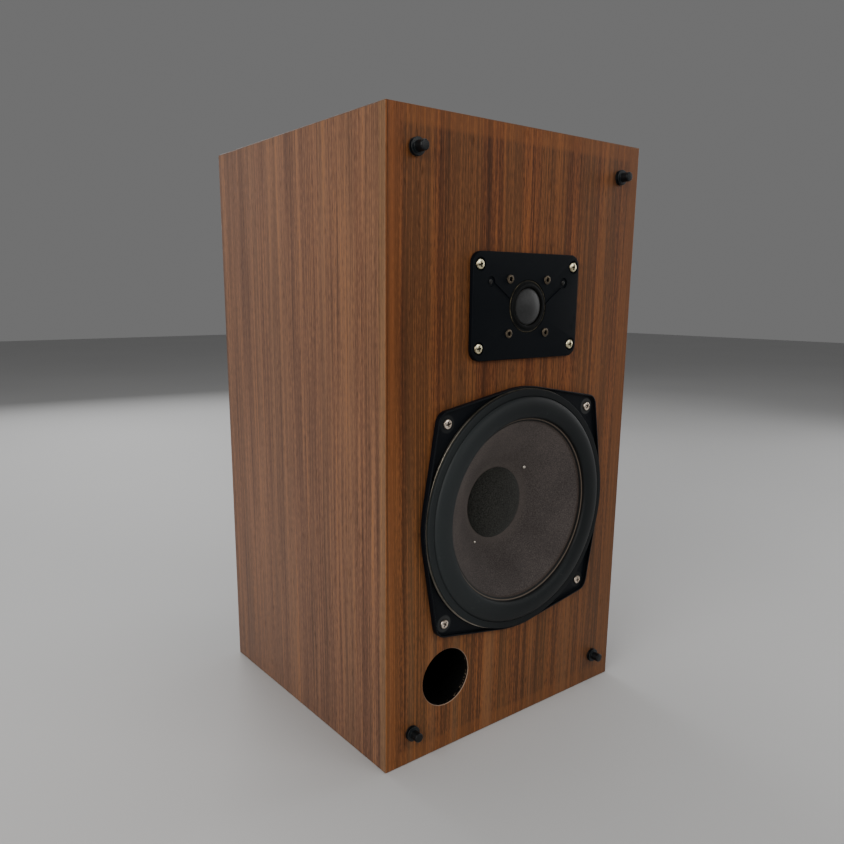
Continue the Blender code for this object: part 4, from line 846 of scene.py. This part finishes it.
def cabinet_panels():
    """Five panels with rounded arrises that meet at closed mitres."""
    across = (-HALF_WIDTH, HALF_WIDTH)
    back = (FRONT, BACK)
    up = (0.0, HEIGHT)
    panels = (
        ("front_panel_veneer", "front_baffle", WALNUT_FRONT, 1, -1, FRONT, (across, up), (1, 1, 1, 1)),
        ("left_panel_veneer", "left_side_panel", WALNUT_SIDE, 0, -1, -HALF_WIDTH, (back, up), (1, 0, 1, 1)),
        ("right_panel_veneer", "right_side_panel", WALNUT_SIDE, 0, 1, HALF_WIDTH, (back, up), (1, 0, 1, 1)),
        ("top_panel_veneer", "top_panel", WALNUT_TOP, 2, 1, HEIGHT, (across, back), (1, 1, 1, 0)),
        ("bottom_panel_veneer", "bottom_panel", WALNUT_TOP, 2, -1, 0.0, (across, back), (1, 1, 1, 0)),
    )
    made = {}
    for name, node, finish, *shape in panels:
        mesh = prism(name, panel_rings(*shape))
        made[node] = settle(mesh, name, finish, "cabinet", [node], smooth=False)
    return made["front_baffle"]


def baffle_openings(baffle):
    """Holes for the drivers, the port, the tweeter's leads, the pegs and the screws."""
    through = PANEL + 0.01
    lip = PORT_BORE + 0.0005
    seat = PORT_BORE + 0.0019
    step = 0.0035
    mouth = [
        (0, -0.01), (lip, -0.01), (lip, 0.0), (PORT_BORE, 0.0005),
        (PORT_BORE, step), (seat, step), (seat, through), (0, through),
    ]
    cutters = [
        bore(WOOFER, 0.0924, through, 160),
        bore(TWEETER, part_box("tweeter_top_plate")[1].x + 0.001, through, 96),
        drill(PORT, mouth, 160),
    ]
    cutters += [bore(centre_of(tab), 0.0078, through, 48) for tab in TABS]
    cutters += [bore(centre_of(peg), 0.0033, 0.0106, 24) for peg in PEGS]
    cutters += [bore(centre_of(screw), 0.0022, 0.0146, 24) for screw in WOOFER_SCREWS + TWEETER_SCREWS]
    carve(baffle, cutters)
    faces = baffle.data.polygons
    middles = vectors(faces, "center")
    away = np.hypot(middles[:, 0] - PORT[0], middles[:, 2] - PORT[1])
    wall = (away < 0.03) & (abs(vectors(faces, "normal")[:, 1]) < 0.2)
    faces.foreach_set("use_smooth", wall)


def port_tube():
    """A plain tube with a rolled front edge."""
    outer, front, rear = extent("port_tube")
    corners = [(PORT_BORE, front), (outer, front), (outer, rear), (PORT_BORE, rear)]
    profile = rounded(corners, [0.0010, 0.0003, 0.0004, 0.0004], 5)
    turned("port_liner", profile, PORT_BLACK, PORT, 128, ["port_tube"])


def grille_pegs():
    """Pegs with a two-disc collar and a chamfered tip."""
    for name in PEGS:
        collar, tip, end = extent(name)
        head = 0.0037
        shank = 0.0030
        waist = collar - 0.0014
        corners = [
            (0, tip), (0.0031, tip), (head, tip + 0.0007), (head, -0.0036), (0.0039, -0.0034),
            (collar - 0.0003, -0.0034), (collar, -0.0032), (collar, -0.0025), (waist, -0.0024),
            (waist, -0.0015), (collar, -0.0014), (collar, -0.0003), (shank, -0.0003),
            (shank, end - 0.001), (0.0022, end), (0, end),
        ]
        profile = rounded(corners, 0.00015, 2, closed=False)
        place = centre_of(name)
        turned(name + "_moulding", profile, PEG_BLACK, place, 48, [name], ring=False)


def pan_screws():
    """Nickel pan-head screws, each turned its own way. The cross recess is two crossed wedges."""
    turns = np.random.default_rng(11).uniform(0, math.pi / 2, 8)
    for turn, name in zip(turns, WOOFER_SCREWS + TWEETER_SCREWS):
        centre = centre_of(name)
        head, top, end = extent(name)
        under = top + 0.0016
        shank = 0.0018
        a = np.linspace(0, 1, 10)
        crown = np.stack([head * (0.02 + 0.90 * a), top + 0.0006 * a ** 2.2], axis=1)
        rest = [(head, under - 0.0005), (head - 0.0001, under), (shank, under), (shank, end - 0.003), (0, end)]
        profile = np.concatenate([[(0, top)], crown[1:], rest])
        finish = WOOFER_SCREW if name.startswith("woofer") else TWEETER_SCREW
        piece = turned(name + "_head", profile, finish, centre, 64, [name], ring=False)
        wedges = []
        for angle in (turn, turn + math.pi / 2):
            mouth = level(bar(angle, 0.00260, 0.00074), top - 0.0008, centre)
            foot = level(bar(angle, 0.0018, 0.00040), top + 0.0013, centre)
            wedges.append(prism("recess", [mouth, foot]))
        carve(piece, wedges, 28)


# ---------------------------------------------------------------- woofer

def woofer_frame():
    """The painted frame with its rim and ears, and the bowl behind it with four windows."""
    ring, rim_top, bottom = extent("woofer_basket")
    reach = centre_of("woofer_screw_top_right")[0] - WOOFER[0]
    seat = extent("woofer_spider")[2] + 0.0003
    ear = 0.0102
    soft = 0.0005
    edge = [(0.0, -0.0003)]
    for a in np.linspace(0, math.pi / 2, 4):
        edge.append((soft * (1 - math.cos(a)), rim_top + soft * (1 - math.sin(a))))
    edge += [(0.0009, rim_top), (0.0012, rim_top + 0.0003), (0.0013, -0.0024), (0.0016, -0.0021)]
    loops = [level(ear_outline(ring - inset, reach, ear - inset), depth, WOOFER) for inset, depth in edge]
    mouth = 0.0898
    wall = mouth + 0.0020
    bowl = [
        (mouth + 0.0004, -0.0021), (mouth, -0.0017), (mouth, 0.0120), (0.0530, seat), (0.0440, seat),
        (0.0440, bottom - 0.0020), (0.0240, bottom - 0.0020), (0.0240, bottom), (0.0460, bottom),
        (0.0460, seat + 0.0020), (0.0545, seat + 0.0020), (wall, 0.0134), (wall, -0.0003),
    ]
    base = ear_outline(ring, reach, ear)
    loops.extend(level(circle_like(base, radius), depth, WOOFER) for radius, depth in bowl)
    mesh = grid_mesh("woofer_frame", np.array(loops))
    piece = settle(mesh, "woofer_frame", BASKET_PAINT, "cabinet", ["woofer_basket"])
    cutters = []
    near, far, apex = 0.049, 0.101, 0.0113
    for quarter in range(4):
        turn = quarter * math.pi / 2
        flat = np.array([(near, apex - near), (far, apex - far), (far, far - apex), (near, near - apex)])
        flat = flat @ np.array([[math.cos(turn), math.sin(turn)], [-math.sin(turn), math.cos(turn)]])
        cutters.append(prism("window", [level(flat, depth, WOOFER) for depth in (0.018, seat - 0.004)]))
    cutters += [bore(centre_of(name), 0.0022, 0.004, 32) for name in WOOFER_SCREWS]
    carve(piece, cutters, 35)


def trim_ring_and_gasket():
    """The bare ring on the frame and the rubber band on the ring."""
    outer = extent("woofer_trim_ring")[0]
    corners = [(0.0903, -0.0024), (outer, -0.0024), (outer, -0.0044), (0.0903, -0.0044)]
    profile = rounded(corners, 0.0004, 4)
    turned("bare_trim_ring", profile, BARE_RING, WOOFER, 192, ["woofer_trim_ring"])
    outer, top, under = extent("woofer_gasket")
    outer -= 0.0005
    corners = [(0.0933, under), (outer, under), (outer, top), (0.0933, top)]
    profile = rounded(corners, [0.0001, 0.0001, 0.0006, 0.0006], 5)
    turned("gasket_band", profile, GASKET_RUBBER, WOOFER, 192, ["woofer_gasket"])


def stretch_between(piece):
    """A piece that spans from the cabinet to a moving body: its placing is baked into its mesh and its points
    are read, and nothing more is done with them."""
    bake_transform(piece)
    points = vectors(piece.data.vertices, "co")


def rubber_surround():
    """Half-roll surround: a flat lip under the gasket, half an ellipse across, and an inner lip on the cone."""
    crest = extent("woofer_surround")[1]
    lip = -0.0047
    thickness = 0.0007
    glue = 0.0003
    foot_out = 0.0930
    foot_in = 0.0761
    inner = cone_depth(foot_in) - glue
    a = np.linspace(0, math.pi, 33)
    middle = (foot_out + foot_in) / 2
    half = (foot_out - foot_in) / 2 - thickness / 2
    base = (lip + inner) / 2 + (lip - inner) / 2 * np.cos(a)
    rise = (lip + inner) / 2 - thickness - crest
    roll = np.stack([middle + half * np.cos(a), base - (rise - 0.00002) * np.sin(a) ** 0.66], axis=1)
    rim = [(radius, cone_depth(radius) - glue) for radius in (0.0748, CONE_RADIUS)]
    line = np.concatenate([[(0.0985, lip), (0.0955, lip)], roll, rim])
    line = rounded(line, [0, 0, 0.0009] + [0.0002] * 31 + [0.0009, 0, 0], 3, closed=False)
    mesh = grid_mesh("surround_roll", around(sheet_profile(line, thickness), WOOFER, 192))
    piece = settle(mesh, "surround_roll", SURROUND_RUBBER, None, ["woofer_surround"])
    stretch_between(piece)


def cone_and_cap():
    """The paper cone, and the flocked dust cap whose depth follows part of an ellipse."""
    body = "woofer_cone_assembly"
    radii = np.linspace(extent("woofer_cone")[0], 0.0169, 60)
    front = np.stack([radii, cone_depth(radii)], axis=1)
    profile = np.concatenate([front, front[::-1] + (0, 0.0009 * CONE_LEAN)])
    turned("paper_cone", profile, CONE_PAPER, WOOFER, 192, ["woofer_cone"], body)
    radius, apex, rear = extent("woofer_dust_cap")
    rim_depth = cone_depth(radius) - 0.0005
    t = np.linspace(0, 1, 40)
    part = 0.86
    bulge = (1 - np.sqrt(1 - (part * t) ** 2)) / (1 - math.sqrt(1 - part ** 2))
    outer = np.stack([radius * t, apex + (rim_depth - apex) * bulge], axis=1)
    inner = outer * (1 - 0.0007 / radius, 1) + (0, 0.0007)
    inner[:, 1] = np.minimum(inner[:, 1], rear)
    profile = np.concatenate([outer, inner[::-1]])
    turned("flocked_cap", profile, CAP_FLOCK, WOOFER, 128, ["woofer_dust_cap"], body, False)


def cone_eyelets():
    """Small rolled eyelets where the leads pass through the cone, turned upright on the slope."""
    lean = math.atan(CONE_SLOPE)
    corners = [
        (0, -0.0009), (0.0005, -0.0010), (0.0008, -0.0012), (0.0013, -0.0008),
        (0.0014, -0.0003), (0.0012, 0.0), (0, 0.0),
    ]
    for node, side, size in (("cone_eyelet_upper", 1, 1.0), ("cone_eyelet_lower", -1, 0.8)):
        profile = rounded(np.array(corners) * (size, 1), 0.0002, 3, closed=False)
        a = np.linspace(0, TAU, 32, endpoint=False)[None, :]
        r = profile[:, :1]
        points = np.stack([r * np.cos(a), profile[:, 1:] + 0 * a, r * np.sin(a)], axis=-1)
        out = np.array([1, 0, 1]) * side / math.sqrt(2)
        normal = Vector(tuple(-out * math.sin(lean))) + Vector((0, -math.cos(lean), 0))
        spin = np.array(Vector((0, -1, 0)).rotation_difference(normal).to_matrix())
        low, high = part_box(node)
        points = points @ spin.T
        middle = [(near + far) / 2 for near, far in zip(low, high)]
        points += middle - (points.min((0, 1)) + points.max((0, 1))) / 2
        mesh = grid_mesh(node + "_roll", points, closed_rows=False)
        settle(mesh, node + "_roll", EYELET, "woofer_cone_assembly", [node])


def smooth_line(points, count):
    """Points along a smooth curve through the given ones: each stretch is the cubic whose end slopes are half
    the step between the neighbours on either side."""
    points = np.asarray(points, float)
    line = np.concatenate([[2 * points[0] - points[1]], points, [2 * points[-1] - points[-2]]])
    t = np.linspace(0, 1, count, endpoint=False)[:, None]
    parts = []
    for before, start, end, after in zip(line, line[1:], line[2:], line[3:]):
        bend = (2 * before - 5 * start + 4 * end - after) * t ** 2
        bend = bend + (3 * start - before - 3 * end + after) * t ** 3
        parts.append(start + ((end - before) * t + bend) / 2)
    return np.concatenate(parts + [points[-1:]])


def tinsel_leads():
    """Two slack braided leads from the eyelets to the basket wall. A lead lies in one diagonal plane, so its
    surface is the middle line plus a turned radius in that plane and across it; the radius swells and shrinks
    round the lead and along it, which draws the twisted strands."""
    cone_back = cone_depth(EYELET_PLACE) + 0.00169
    hang = [
        (EYELET_PLACE, cone_back), (0.0399, cone_back + 0.005), (0.0435, cone_back + 0.011),
        (0.05078, cone_back + 0.0155), (0.05606, 0.0370), (0.06206, 0.0360),
    ]
    line = smooth_line(hang, 16)
    normal = normals_of(line)
    length = np.concatenate([[0], np.cumsum(np.linalg.norm(np.diff(line, axis=0), axis=1))])
    a = np.linspace(0, TAU, 30, endpoint=False)[None, :]
    radius = 0.00060 + 0.00006 * np.cos(5 * a - length[:, None] * TAU / 0.006)
    out = line[:, :1] + normal[:, :1] * radius * np.cos(a)
    depth = line[:, 1:] + normal[:, 1:] * radius * np.cos(a)
    cross = radius * np.sin(a)
    for name, side in (("tinsel_lead_upper", 1), ("tinsel_lead_lower", -1)):
        half = side / math.sqrt(2)
        grid = np.stack([half * (out + cross), FRONT + depth, WOOFER[1] + half * (out - cross)], axis=-1)
        piece = settle(prism(name + "_braid", grid), name + "_braid", COPPER_BRAID, None, [name])
        stretch_between(piece)


def spider():
    """Corrugated cloth disc: its depth is a sine of the radius, from the coil out to a flat glued rim."""
    outer, _, rear = extent("woofer_spider")
    thickness = 0.0006
    seat = rear - 0.0008
    inner = 0.0170
    flat = 0.0440
    radius = np.linspace(inner, flat - 0.001, 73)
    share = (radius - inner) / (radius[-1] - inner)
    wave = 0.00125 * np.sin(TAU * 3 * share)
    line = np.stack([radius, seat - 0.0005 - wave], axis=1)
    line = np.concatenate([line, [(flat + 0.0004, seat), (outer, seat)]])
    profile = np.concatenate([line - (0, thickness), line[::-1]])
    mesh = grid_mesh("spider_disc", around(profile, WOOFER, 144))
    piece = settle(mesh, "spider_disc", SPIDER_CLOTH, None, ["woofer_spider"])
    stretch_between(piece)


# ---------------------------------------------------------------- tweeter

def faceplate():
    """Moulded plate with a soft edge, screw and lead pockets, rivet holes and the shallow round seat."""
    low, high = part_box("tweeter_faceplate")
    half_x, face, back = extent("tweeter_faceplate")
    half_z = (high.z - low.z) / 2
    corner = 0.009
    soft = 0.0009
    base = rounded_rectangle(half_x, half_z, corner)
    loops = [level(base, back, TWEETER)]
    for a in np.linspace(0, math.pi / 2, 6):
        inset = soft * (1 - math.cos(a))
        shape = rounded_rectangle(half_x - inset, half_z - inset, corner - inset)
        loops.append(level(shape, face + soft * (1 - math.sin(a)), TWEETER))
    seat = 0.0200
    hole = 0.0176
    ledge = face + 0.0008
    well = [(seat + 0.0003, face), (seat, face + 0.0002), (seat, ledge), (hole, ledge), (hole, back)]
    loops.extend(level(circle_like(base, radius), depth, TWEETER) for radius, depth in well)
    mesh = grid_mesh("tweeter_plate", np.array(loops))
    piece = settle(mesh, "tweeter_plate", PLATE_BLACK, "cabinet", ["tweeter_faceplate"])
    floor = face + 0.0012
    pocket = 0.0049
    sink = [
        (0, -0.01), (0.0052, -0.01), (0.0052, face), (pocket, face + 0.0003),
        (pocket, floor), (0.0022, floor), (0.0022, 0.004), (0, 0.004),
    ]
    cutters = [drill(centre_of(name), sink, 64) for name in TWEETER_SCREWS]
    cutters += [bore(centre_of(name), 0.0025, 0.004, 40) for name in RIVETS]
    groove = face + 0.0006
    dish = groove + 0.0002
    sink = [(0, -0.01), (0.0040, -0.01), (0.0040, dish), (0.0014, dish), (0.0014, 0.004), (0, 0.004)]
    for side, node in zip((-1, 1), TABS):
        tab = centre_of(node)
        cutters.append(drill(tab, sink, 48))
        start = np.array([tab[0] - side * 0.002, tab[1] - 0.0014]) - TWEETER
        end = np.array([side * (seat - 0.0012), 0.0035])
        along = (end - start) / np.linalg.norm(end - start)
        sideways = np.array([-along[1], along[0]]) * 0.0017
        flat = np.array([start + sideways, end + sideways, end - sideways, start - sideways])
        cutters.append(prism("groove", [level(flat, depth, TWEETER) for depth in (-0.01, groove)]))
    carve(piece, cutters, 30)


def rivets_and_tabs():
    """Hollow rivets with rolled heads, and lead tabs with a blob of solder."""
    for name in RIVETS:
        outer, top, end = extent(name)
        bore_radius = 0.0016
        under = top + 0.0009
        corners = [
            (bore_radius, top + 0.0003), (0.0019, top), (outer - 0.0008, top), (outer, top + 0.0006),
            (outer, under), (0.0021, under), (0.0021, end), (bore_radius, end),
        ]
        profile = rounded(corners, 0.0004, 4)
        turned(name + "_rolled", profile, BRASS, centre_of(name), 48, [name])
    for name in TABS:
        _, top, end = extent(name)
        foot = top + 0.0003
        corners = [
            (0, top), (0.0008, top + 0.00005), (0.0015, top + 0.0002), (0.0018, foot),
            (0.0010, foot), (0.0010, end), (0, end),
        ]
        profile = rounded(corners, 0.0001, 2, closed=False)
        turned(name + "_solder", profile, TAB_BLACK, centre_of(name), 32, [name], ring=False)


def dome_and_roll():
    """The doped cloth dome, and the small half-roll with its flat outer lip."""
    body = "tweeter_dome_assembly"
    radius, apex, _ = extent("tweeter_dome")
    rise = 0.0048
    ball = (radius ** 2 + rise ** 2) / (2 * rise)
    inside = ball - 0.0004
    a = np.linspace(0, math.asin(radius / ball), 28)
    outer = np.stack([ball * np.sin(a), apex + ball * (1 - np.cos(a))], axis=1)
    inner = np.stack([inside * np.sin(a), apex + ball - inside * np.cos(a)], axis=1)
    profile = np.concatenate([outer, inner[::-1]])
    turned("cloth_dome", profile, DOME_CLOTH, TWEETER, 96, ["tweeter_dome"], body, False)
    outside, crest, lip = extent("tweeter_suspension")
    thickness = 0.00035
    roll_in = radius + 0.0007
    roll_out = radius + 0.0036
    middle = (roll_in + roll_out) / 2
    half = (roll_out - roll_in) / 2
    t = np.linspace(0, math.pi, 17)
    height = lip - thickness - crest
    roll = np.stack([middle + half * np.cos(t), lip - height * np.sin(t)], axis=1)
    line = np.concatenate([[(outside, lip), (outside - 0.001, lip)], roll])
    mesh = grid_mesh("dome_roll", around(sheet_profile(line, thickness), TWEETER, 96))
    piece = settle(mesh, "dome_roll", EDGE_CLOTH, None, ["tweeter_suspension"])
    stretch_between(piece)


# ---------------------------------------------------------------- back

def pin_axis():
    """(y, z) of the levers' pin."""
    low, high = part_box("lever_pin")
    return (low.y + high.y) / 2, (low.z + high.z) / 2


def pin_hole(start, end):
    """A round cutter along the levers' pin, from one x to another."""
    y, z = pin_axis()
    a = np.linspace(0, TAU, 24, endpoint=False)
    circle = [y + 0.0013 * np.cos(a), z + 0.0013 * np.sin(a)]
    return prism("pin_hole", [np.stack([np.full(24, x), *circle], axis=1) for x in (start, end)])


def cup_screw(number, spot, deep, turn):
    """A small cross-slotted screw head in the cup's flange."""
    top = deep - 0.0003
    under = deep - 0.0016
    head = [(0, top), (0.0026, top), (0.0030, deep - 0.0006), (0.0014, under), (0, under)]
    profile = rounded(head, 0.0001, 2, closed=False)
    name = f"cup_screw_{number}"
    screw = turned(name, profile, ZINC_SCREW, spot, 32, [], ring=False)
    slots = []
    for angle in (turn, turn + math.pi / 2):
        flat = bar(angle, 0.0017, 0.0003)
        slots.append(prism("slot", [level(flat, deep + 0.001, spot), level(flat * 0.6, deep - 0.0012, spot)]))
    carve(screw, slots)


def terminal_cup():
    """The moulded cup with soft edges, and four small screws that hold its flange."""
    low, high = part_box("terminal_plate")
    middle = (low + high) / 2
    half_x = (high.x - low.x) / 2
    half_z = (high.z - low.z) / 2
    face = high.y
    seat = face - 0.0025
    bottom = low.y
    floor = bottom + 0.0022
    mouth_x = half_x - 0.011
    mouth_z = half_z - 0.011
    wall = 0.0022
    rim = 0.0010
    lip = 0.0008

    def ring(x, z, y, corner):
        flat = rounded_rectangle(x, z, corner, 6, 6)
        return np.stack([middle.x + flat[:, 0], np.full(len(flat), y), middle.z + flat[:, 1]], axis=1)

    loops = [ring(mouth_x + wall, mouth_z + wall, y, 0.0030) for y in (bottom, seat)]
    loops.append(ring(half_x, half_z, seat, 0.0035))
    quarter = np.linspace(0, math.pi / 2, 5)
    for a in quarter:
        inset = rim * (1 - math.cos(a))
        loops.append(ring(half_x - inset, half_z - inset, face - rim * (1 - math.sin(a)), 0.0035 - inset))
    for a in quarter:
        inset = lip * math.cos(a)
        loops.append(ring(mouth_x + inset, mouth_z + inset, face - lip * (1 - math.cos(a)), 0.0012 + inset))
    loops.append(ring(mouth_x, mouth_z, floor, 0.0012))
    mesh = prism("terminal_cup", loops)
    piece = settle(mesh, "terminal_cup", CUP_BLACK, "cabinet", ["terminal_plate"])
    cutters = [pin_hole(-0.04, 0.04)]
    for node in ("contact_spring_red", "contact_spring_black"):
        low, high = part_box(node)
        left = low.x - 0.0003
        right = high.x + 0.0003
        top = high.z + 0.0003
        under = top - 0.0012
        corners = [(left, under), (right, under), (right, top), (left, top)]
        cutters.append(prism("slot", [[(x, y, z) for x, z in corners] for y in (bottom - 0.01, floor + 0.001)]))
    deep = face - FRONT
    above = deep + 0.002
    foot = deep - 0.0018
    sink = [(0, above), (0.0034, above), (0.0034, deep), (0.0016, foot), (0, foot)]
    for x in (-1, 1):
        for z in (-1, 1):
            spot = (middle.x + x * (half_x - 0.0055), middle.z + z * (half_z - 0.0055))
            cutters.append(drill(spot, sink, 32))
            cup_screw(len(cutters), spot, deep, 0.4 + x + z)
    carve(piece, cutters, 30)


def lever(colour, finish):
    """A rocking clip: a hub bored for the pin and a finger tab with a raised lip."""
    node = f"clip_lever_{colour}"
    name = f"{colour}_clip"
    low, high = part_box(node)
    pin_y, pin_z = pin_axis()
    hub = pin_y - low.y
    tip = high.y - pin_y
    a = np.linspace(math.radians(70), math.radians(290), 17)
    tab = [
        (hub + 0.001, -0.0020), (tip - 0.0010, -0.0006), (tip, 0.0006), (tip - 0.0004, 0.0042),
        (tip - 0.0014, 0.0048), (tip - 0.0020, 0.0044), (hub + 0.001, 0.0026),
    ]
    round_hub = np.stack([hub * np.cos(a), hub * np.sin(a)], axis=1)
    outline = np.concatenate([round_hub, rounded(tab, 0.0005, 3, closed=False)])
    middle = outline.mean(axis=0)
    edge = 0.0005
    soft = edge * 0.3
    loops = []
    for x, shrink in (
        (low.x, edge), (low.x + soft, soft), (low.x + edge, 0),
        (high.x - edge, 0), (high.x - soft, soft), (high.x, edge),
    ):
        flat = middle + (outline - middle) * (1 - shrink / 0.006)
        loops.append(np.stack([np.full(len(flat), x), pin_y + flat[:, 0], pin_z + flat[:, 1]], axis=1))
    piece = settle(prism(name, loops), name, finish, f"{colour}_lever", [node])
    carve(piece, [pin_hole(low.x - 0.01, high.x + 0.01)], 30)


def repaint(finish, *nodes):
    """A CAD node whose shape is right gets its finish."""
    for node in nodes:
        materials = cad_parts[node].data.materials
        materials.clear()
        materials.append(finish)


def wool_pad():
    """Lumpy pad: a rounded block whose faces swell and dip by a few smooth waves."""
    low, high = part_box("wadding")
    middle = np.array((low + high) / 2)
    half = np.array((high - low) / 2)
    u = np.linspace(-math.pi / 2, math.pi / 2, 49)[:, None]
    v = np.linspace(-math.pi, math.pi, 96, endpoint=False)[None, :]

    def power(value, exponent):
        return np.sign(value) * abs(value) ** exponent

    x = power(np.cos(u), 0.30) * power(np.cos(v), 0.30)
    z = power(np.cos(u), 0.30) * power(np.sin(v), 0.30)
    y = power(np.sin(u), 0.45) + 0 * v
    lumps = 0.94 + 0.03 * np.sin(9 * x + 4 * z) * np.cos(7 * z - 3 * y) + 0.02 * np.sin(17 * z + 5 * x)
    points = np.stack([x, y, z], axis=-1) * (half * (0.97, 0.95, 0.97)) * lumps[..., None] + middle
    mesh = grid_mesh("wool_pad", points, closed_rows=False)
    piece = settle(mesh, "wool_pad", WOOL, "cabinet", ["wadding"])


# ---------------------------------------------------------------- studio

def floor_and_light():
    """A pale floor, soft area lights and an even grey surround."""
    half = 6.0
    corners = [(-half, -half, 0), (half, -half, 0), (half, half, 0), (-half, half, 0)]
    mesh = bpy.data.meshes.new("studio_floor")
    mesh.from_pydata(corners, [], [(0, 1, 2, 3)])
    floor = bpy.data.objects.new("studio_floor", mesh)
    bpy.context.scene.collection.objects.link(floor)
    f = Finish("studio_grey")
    cloud = f.noise(f.place, 2.0, detail=1.0)
    mesh.materials.append(f.wear(f.blend(cloud, "#b9b9b9", "#c2c2c2"), 0.55 + cloud * 0.1))

    world = bpy.data.worlds.new("studio")
    world.use_nodes = True
    backdrop = world.node_tree.nodes["Background"]
    backdrop.inputs["Color"].default_value = (0.30, 0.30, 0.30, 1)
    backdrop.inputs["Strength"].default_value = 0.55
    bpy.context.scene.world = world

    target = Vector((0, 0, 0.24))
    for name, place, size, power, colour in (
        ("left_softbox", (-1.5, -0.55, 0.95), (1.0, 1.3), 21.0, (1.0, 0.98, 0.95)),
        ("front_softbox", (0.7, -1.9, 1.25), (1.4, 1.0), 14.0, (1.0, 0.99, 0.97)),
        ("top_softbox", (0.2, 0.3, 1.9), (1.6, 1.2), 10.0, (1.0, 1.0, 1.0)),
        ("right_softbox", (1.7, -0.3, 0.8), (0.8, 1.3), 7.5, (1.0, 1.0, 1.0)),
        ("rear_softbox", (0.2, 1.8, 1.0), (1.2, 1.2), 14.0, (1.0, 1.0, 1.0)),
    ):
        data = bpy.data.lights.new(name, "AREA")
        data.shape = "RECTANGLE"
        data.size, data.size_y = size
        data.energy = power
        data.color = colour
        lamp = bpy.data.objects.new(name, data)
        lamp.location = place
        lamp.rotation_euler = (target - Vector(place)).to_track_quat("-Z", "Y").to_euler()
        bpy.context.scene.collection.objects.link(lamp)


def camera():
    """Camera at the left front, a little above the middle, looking slightly down."""
    yaw = math.radians(37.34)
    pitch = math.radians(11.95)
    roll = math.radians(0.18)
    forward = Vector((math.sin(yaw) * math.cos(pitch), math.cos(yaw) * math.cos(pitch), -math.sin(pitch)))
    right = Vector((math.cos(yaw), -math.sin(yaw), 0))
    up = right.cross(forward)
    level_right = right * math.cos(roll) + up * math.sin(roll)
    level_up = up * math.cos(roll) - right * math.sin(roll)
    data = bpy.data.cameras.new("camera")
    data.lens = 32.015
    data.sensor_width = 36.0
    data.shift_x = 0.0282
    data.shift_y = 0.0383
    data.clip_start = 0.01
    data.clip_end = 60.0
    made = bpy.data.objects.new("camera", data)
    turn = Matrix((level_right, level_up, -forward)).transposed()
    made.matrix_world = Matrix.Translation((-0.4356, -0.5373, 0.3580)) @ turn.to_4x4()
    bpy.context.scene.collection.objects.link(made)
    bpy.context.scene.camera = made


def main():
    camera()
    floor_and_light()
    baffle = cabinet_panels()
    baffle_openings(baffle)
    port_tube()
    grille_pegs()
    pan_screws()
    woofer_frame()
    trim_ring_and_gasket()
    rubber_surround()
    cone_and_cap()
    cone_eyelets()
    tinsel_leads()
    spider()
    faceplate()
    rivets_and_tabs()
    dome_and_roll()
    terminal_cup()
    lever("red", LEVER_RED)
    lever("black", LEVER_BLACK)
    wool_pad()
    repaint(BOARD_BLACK, "back_panel", "cross_brace")
    repaint(ZINC, "woofer_top_plate", "woofer_back_plate")
    repaint(ZINC_SMALL, "tweeter_top_plate", "tweeter_back_plate", "lever_pin")
    repaint(FERRITE, "woofer_magnet", "tweeter_magnet")
    repaint(COPPER_COIL, "woofer_voice_coil", "tweeter_voice_coil", "crossover_inductor")
    repaint(BRASS, "contact_spring_red", "contact_spring_black")
    repaint(FIBRE_BOARD, "crossover_board")
    repaint(YELLOW_FILM, "crossover_capacitor")
    repaint(CABLE_SKIN, "woofer_cable", "tweeter_cable")


main()
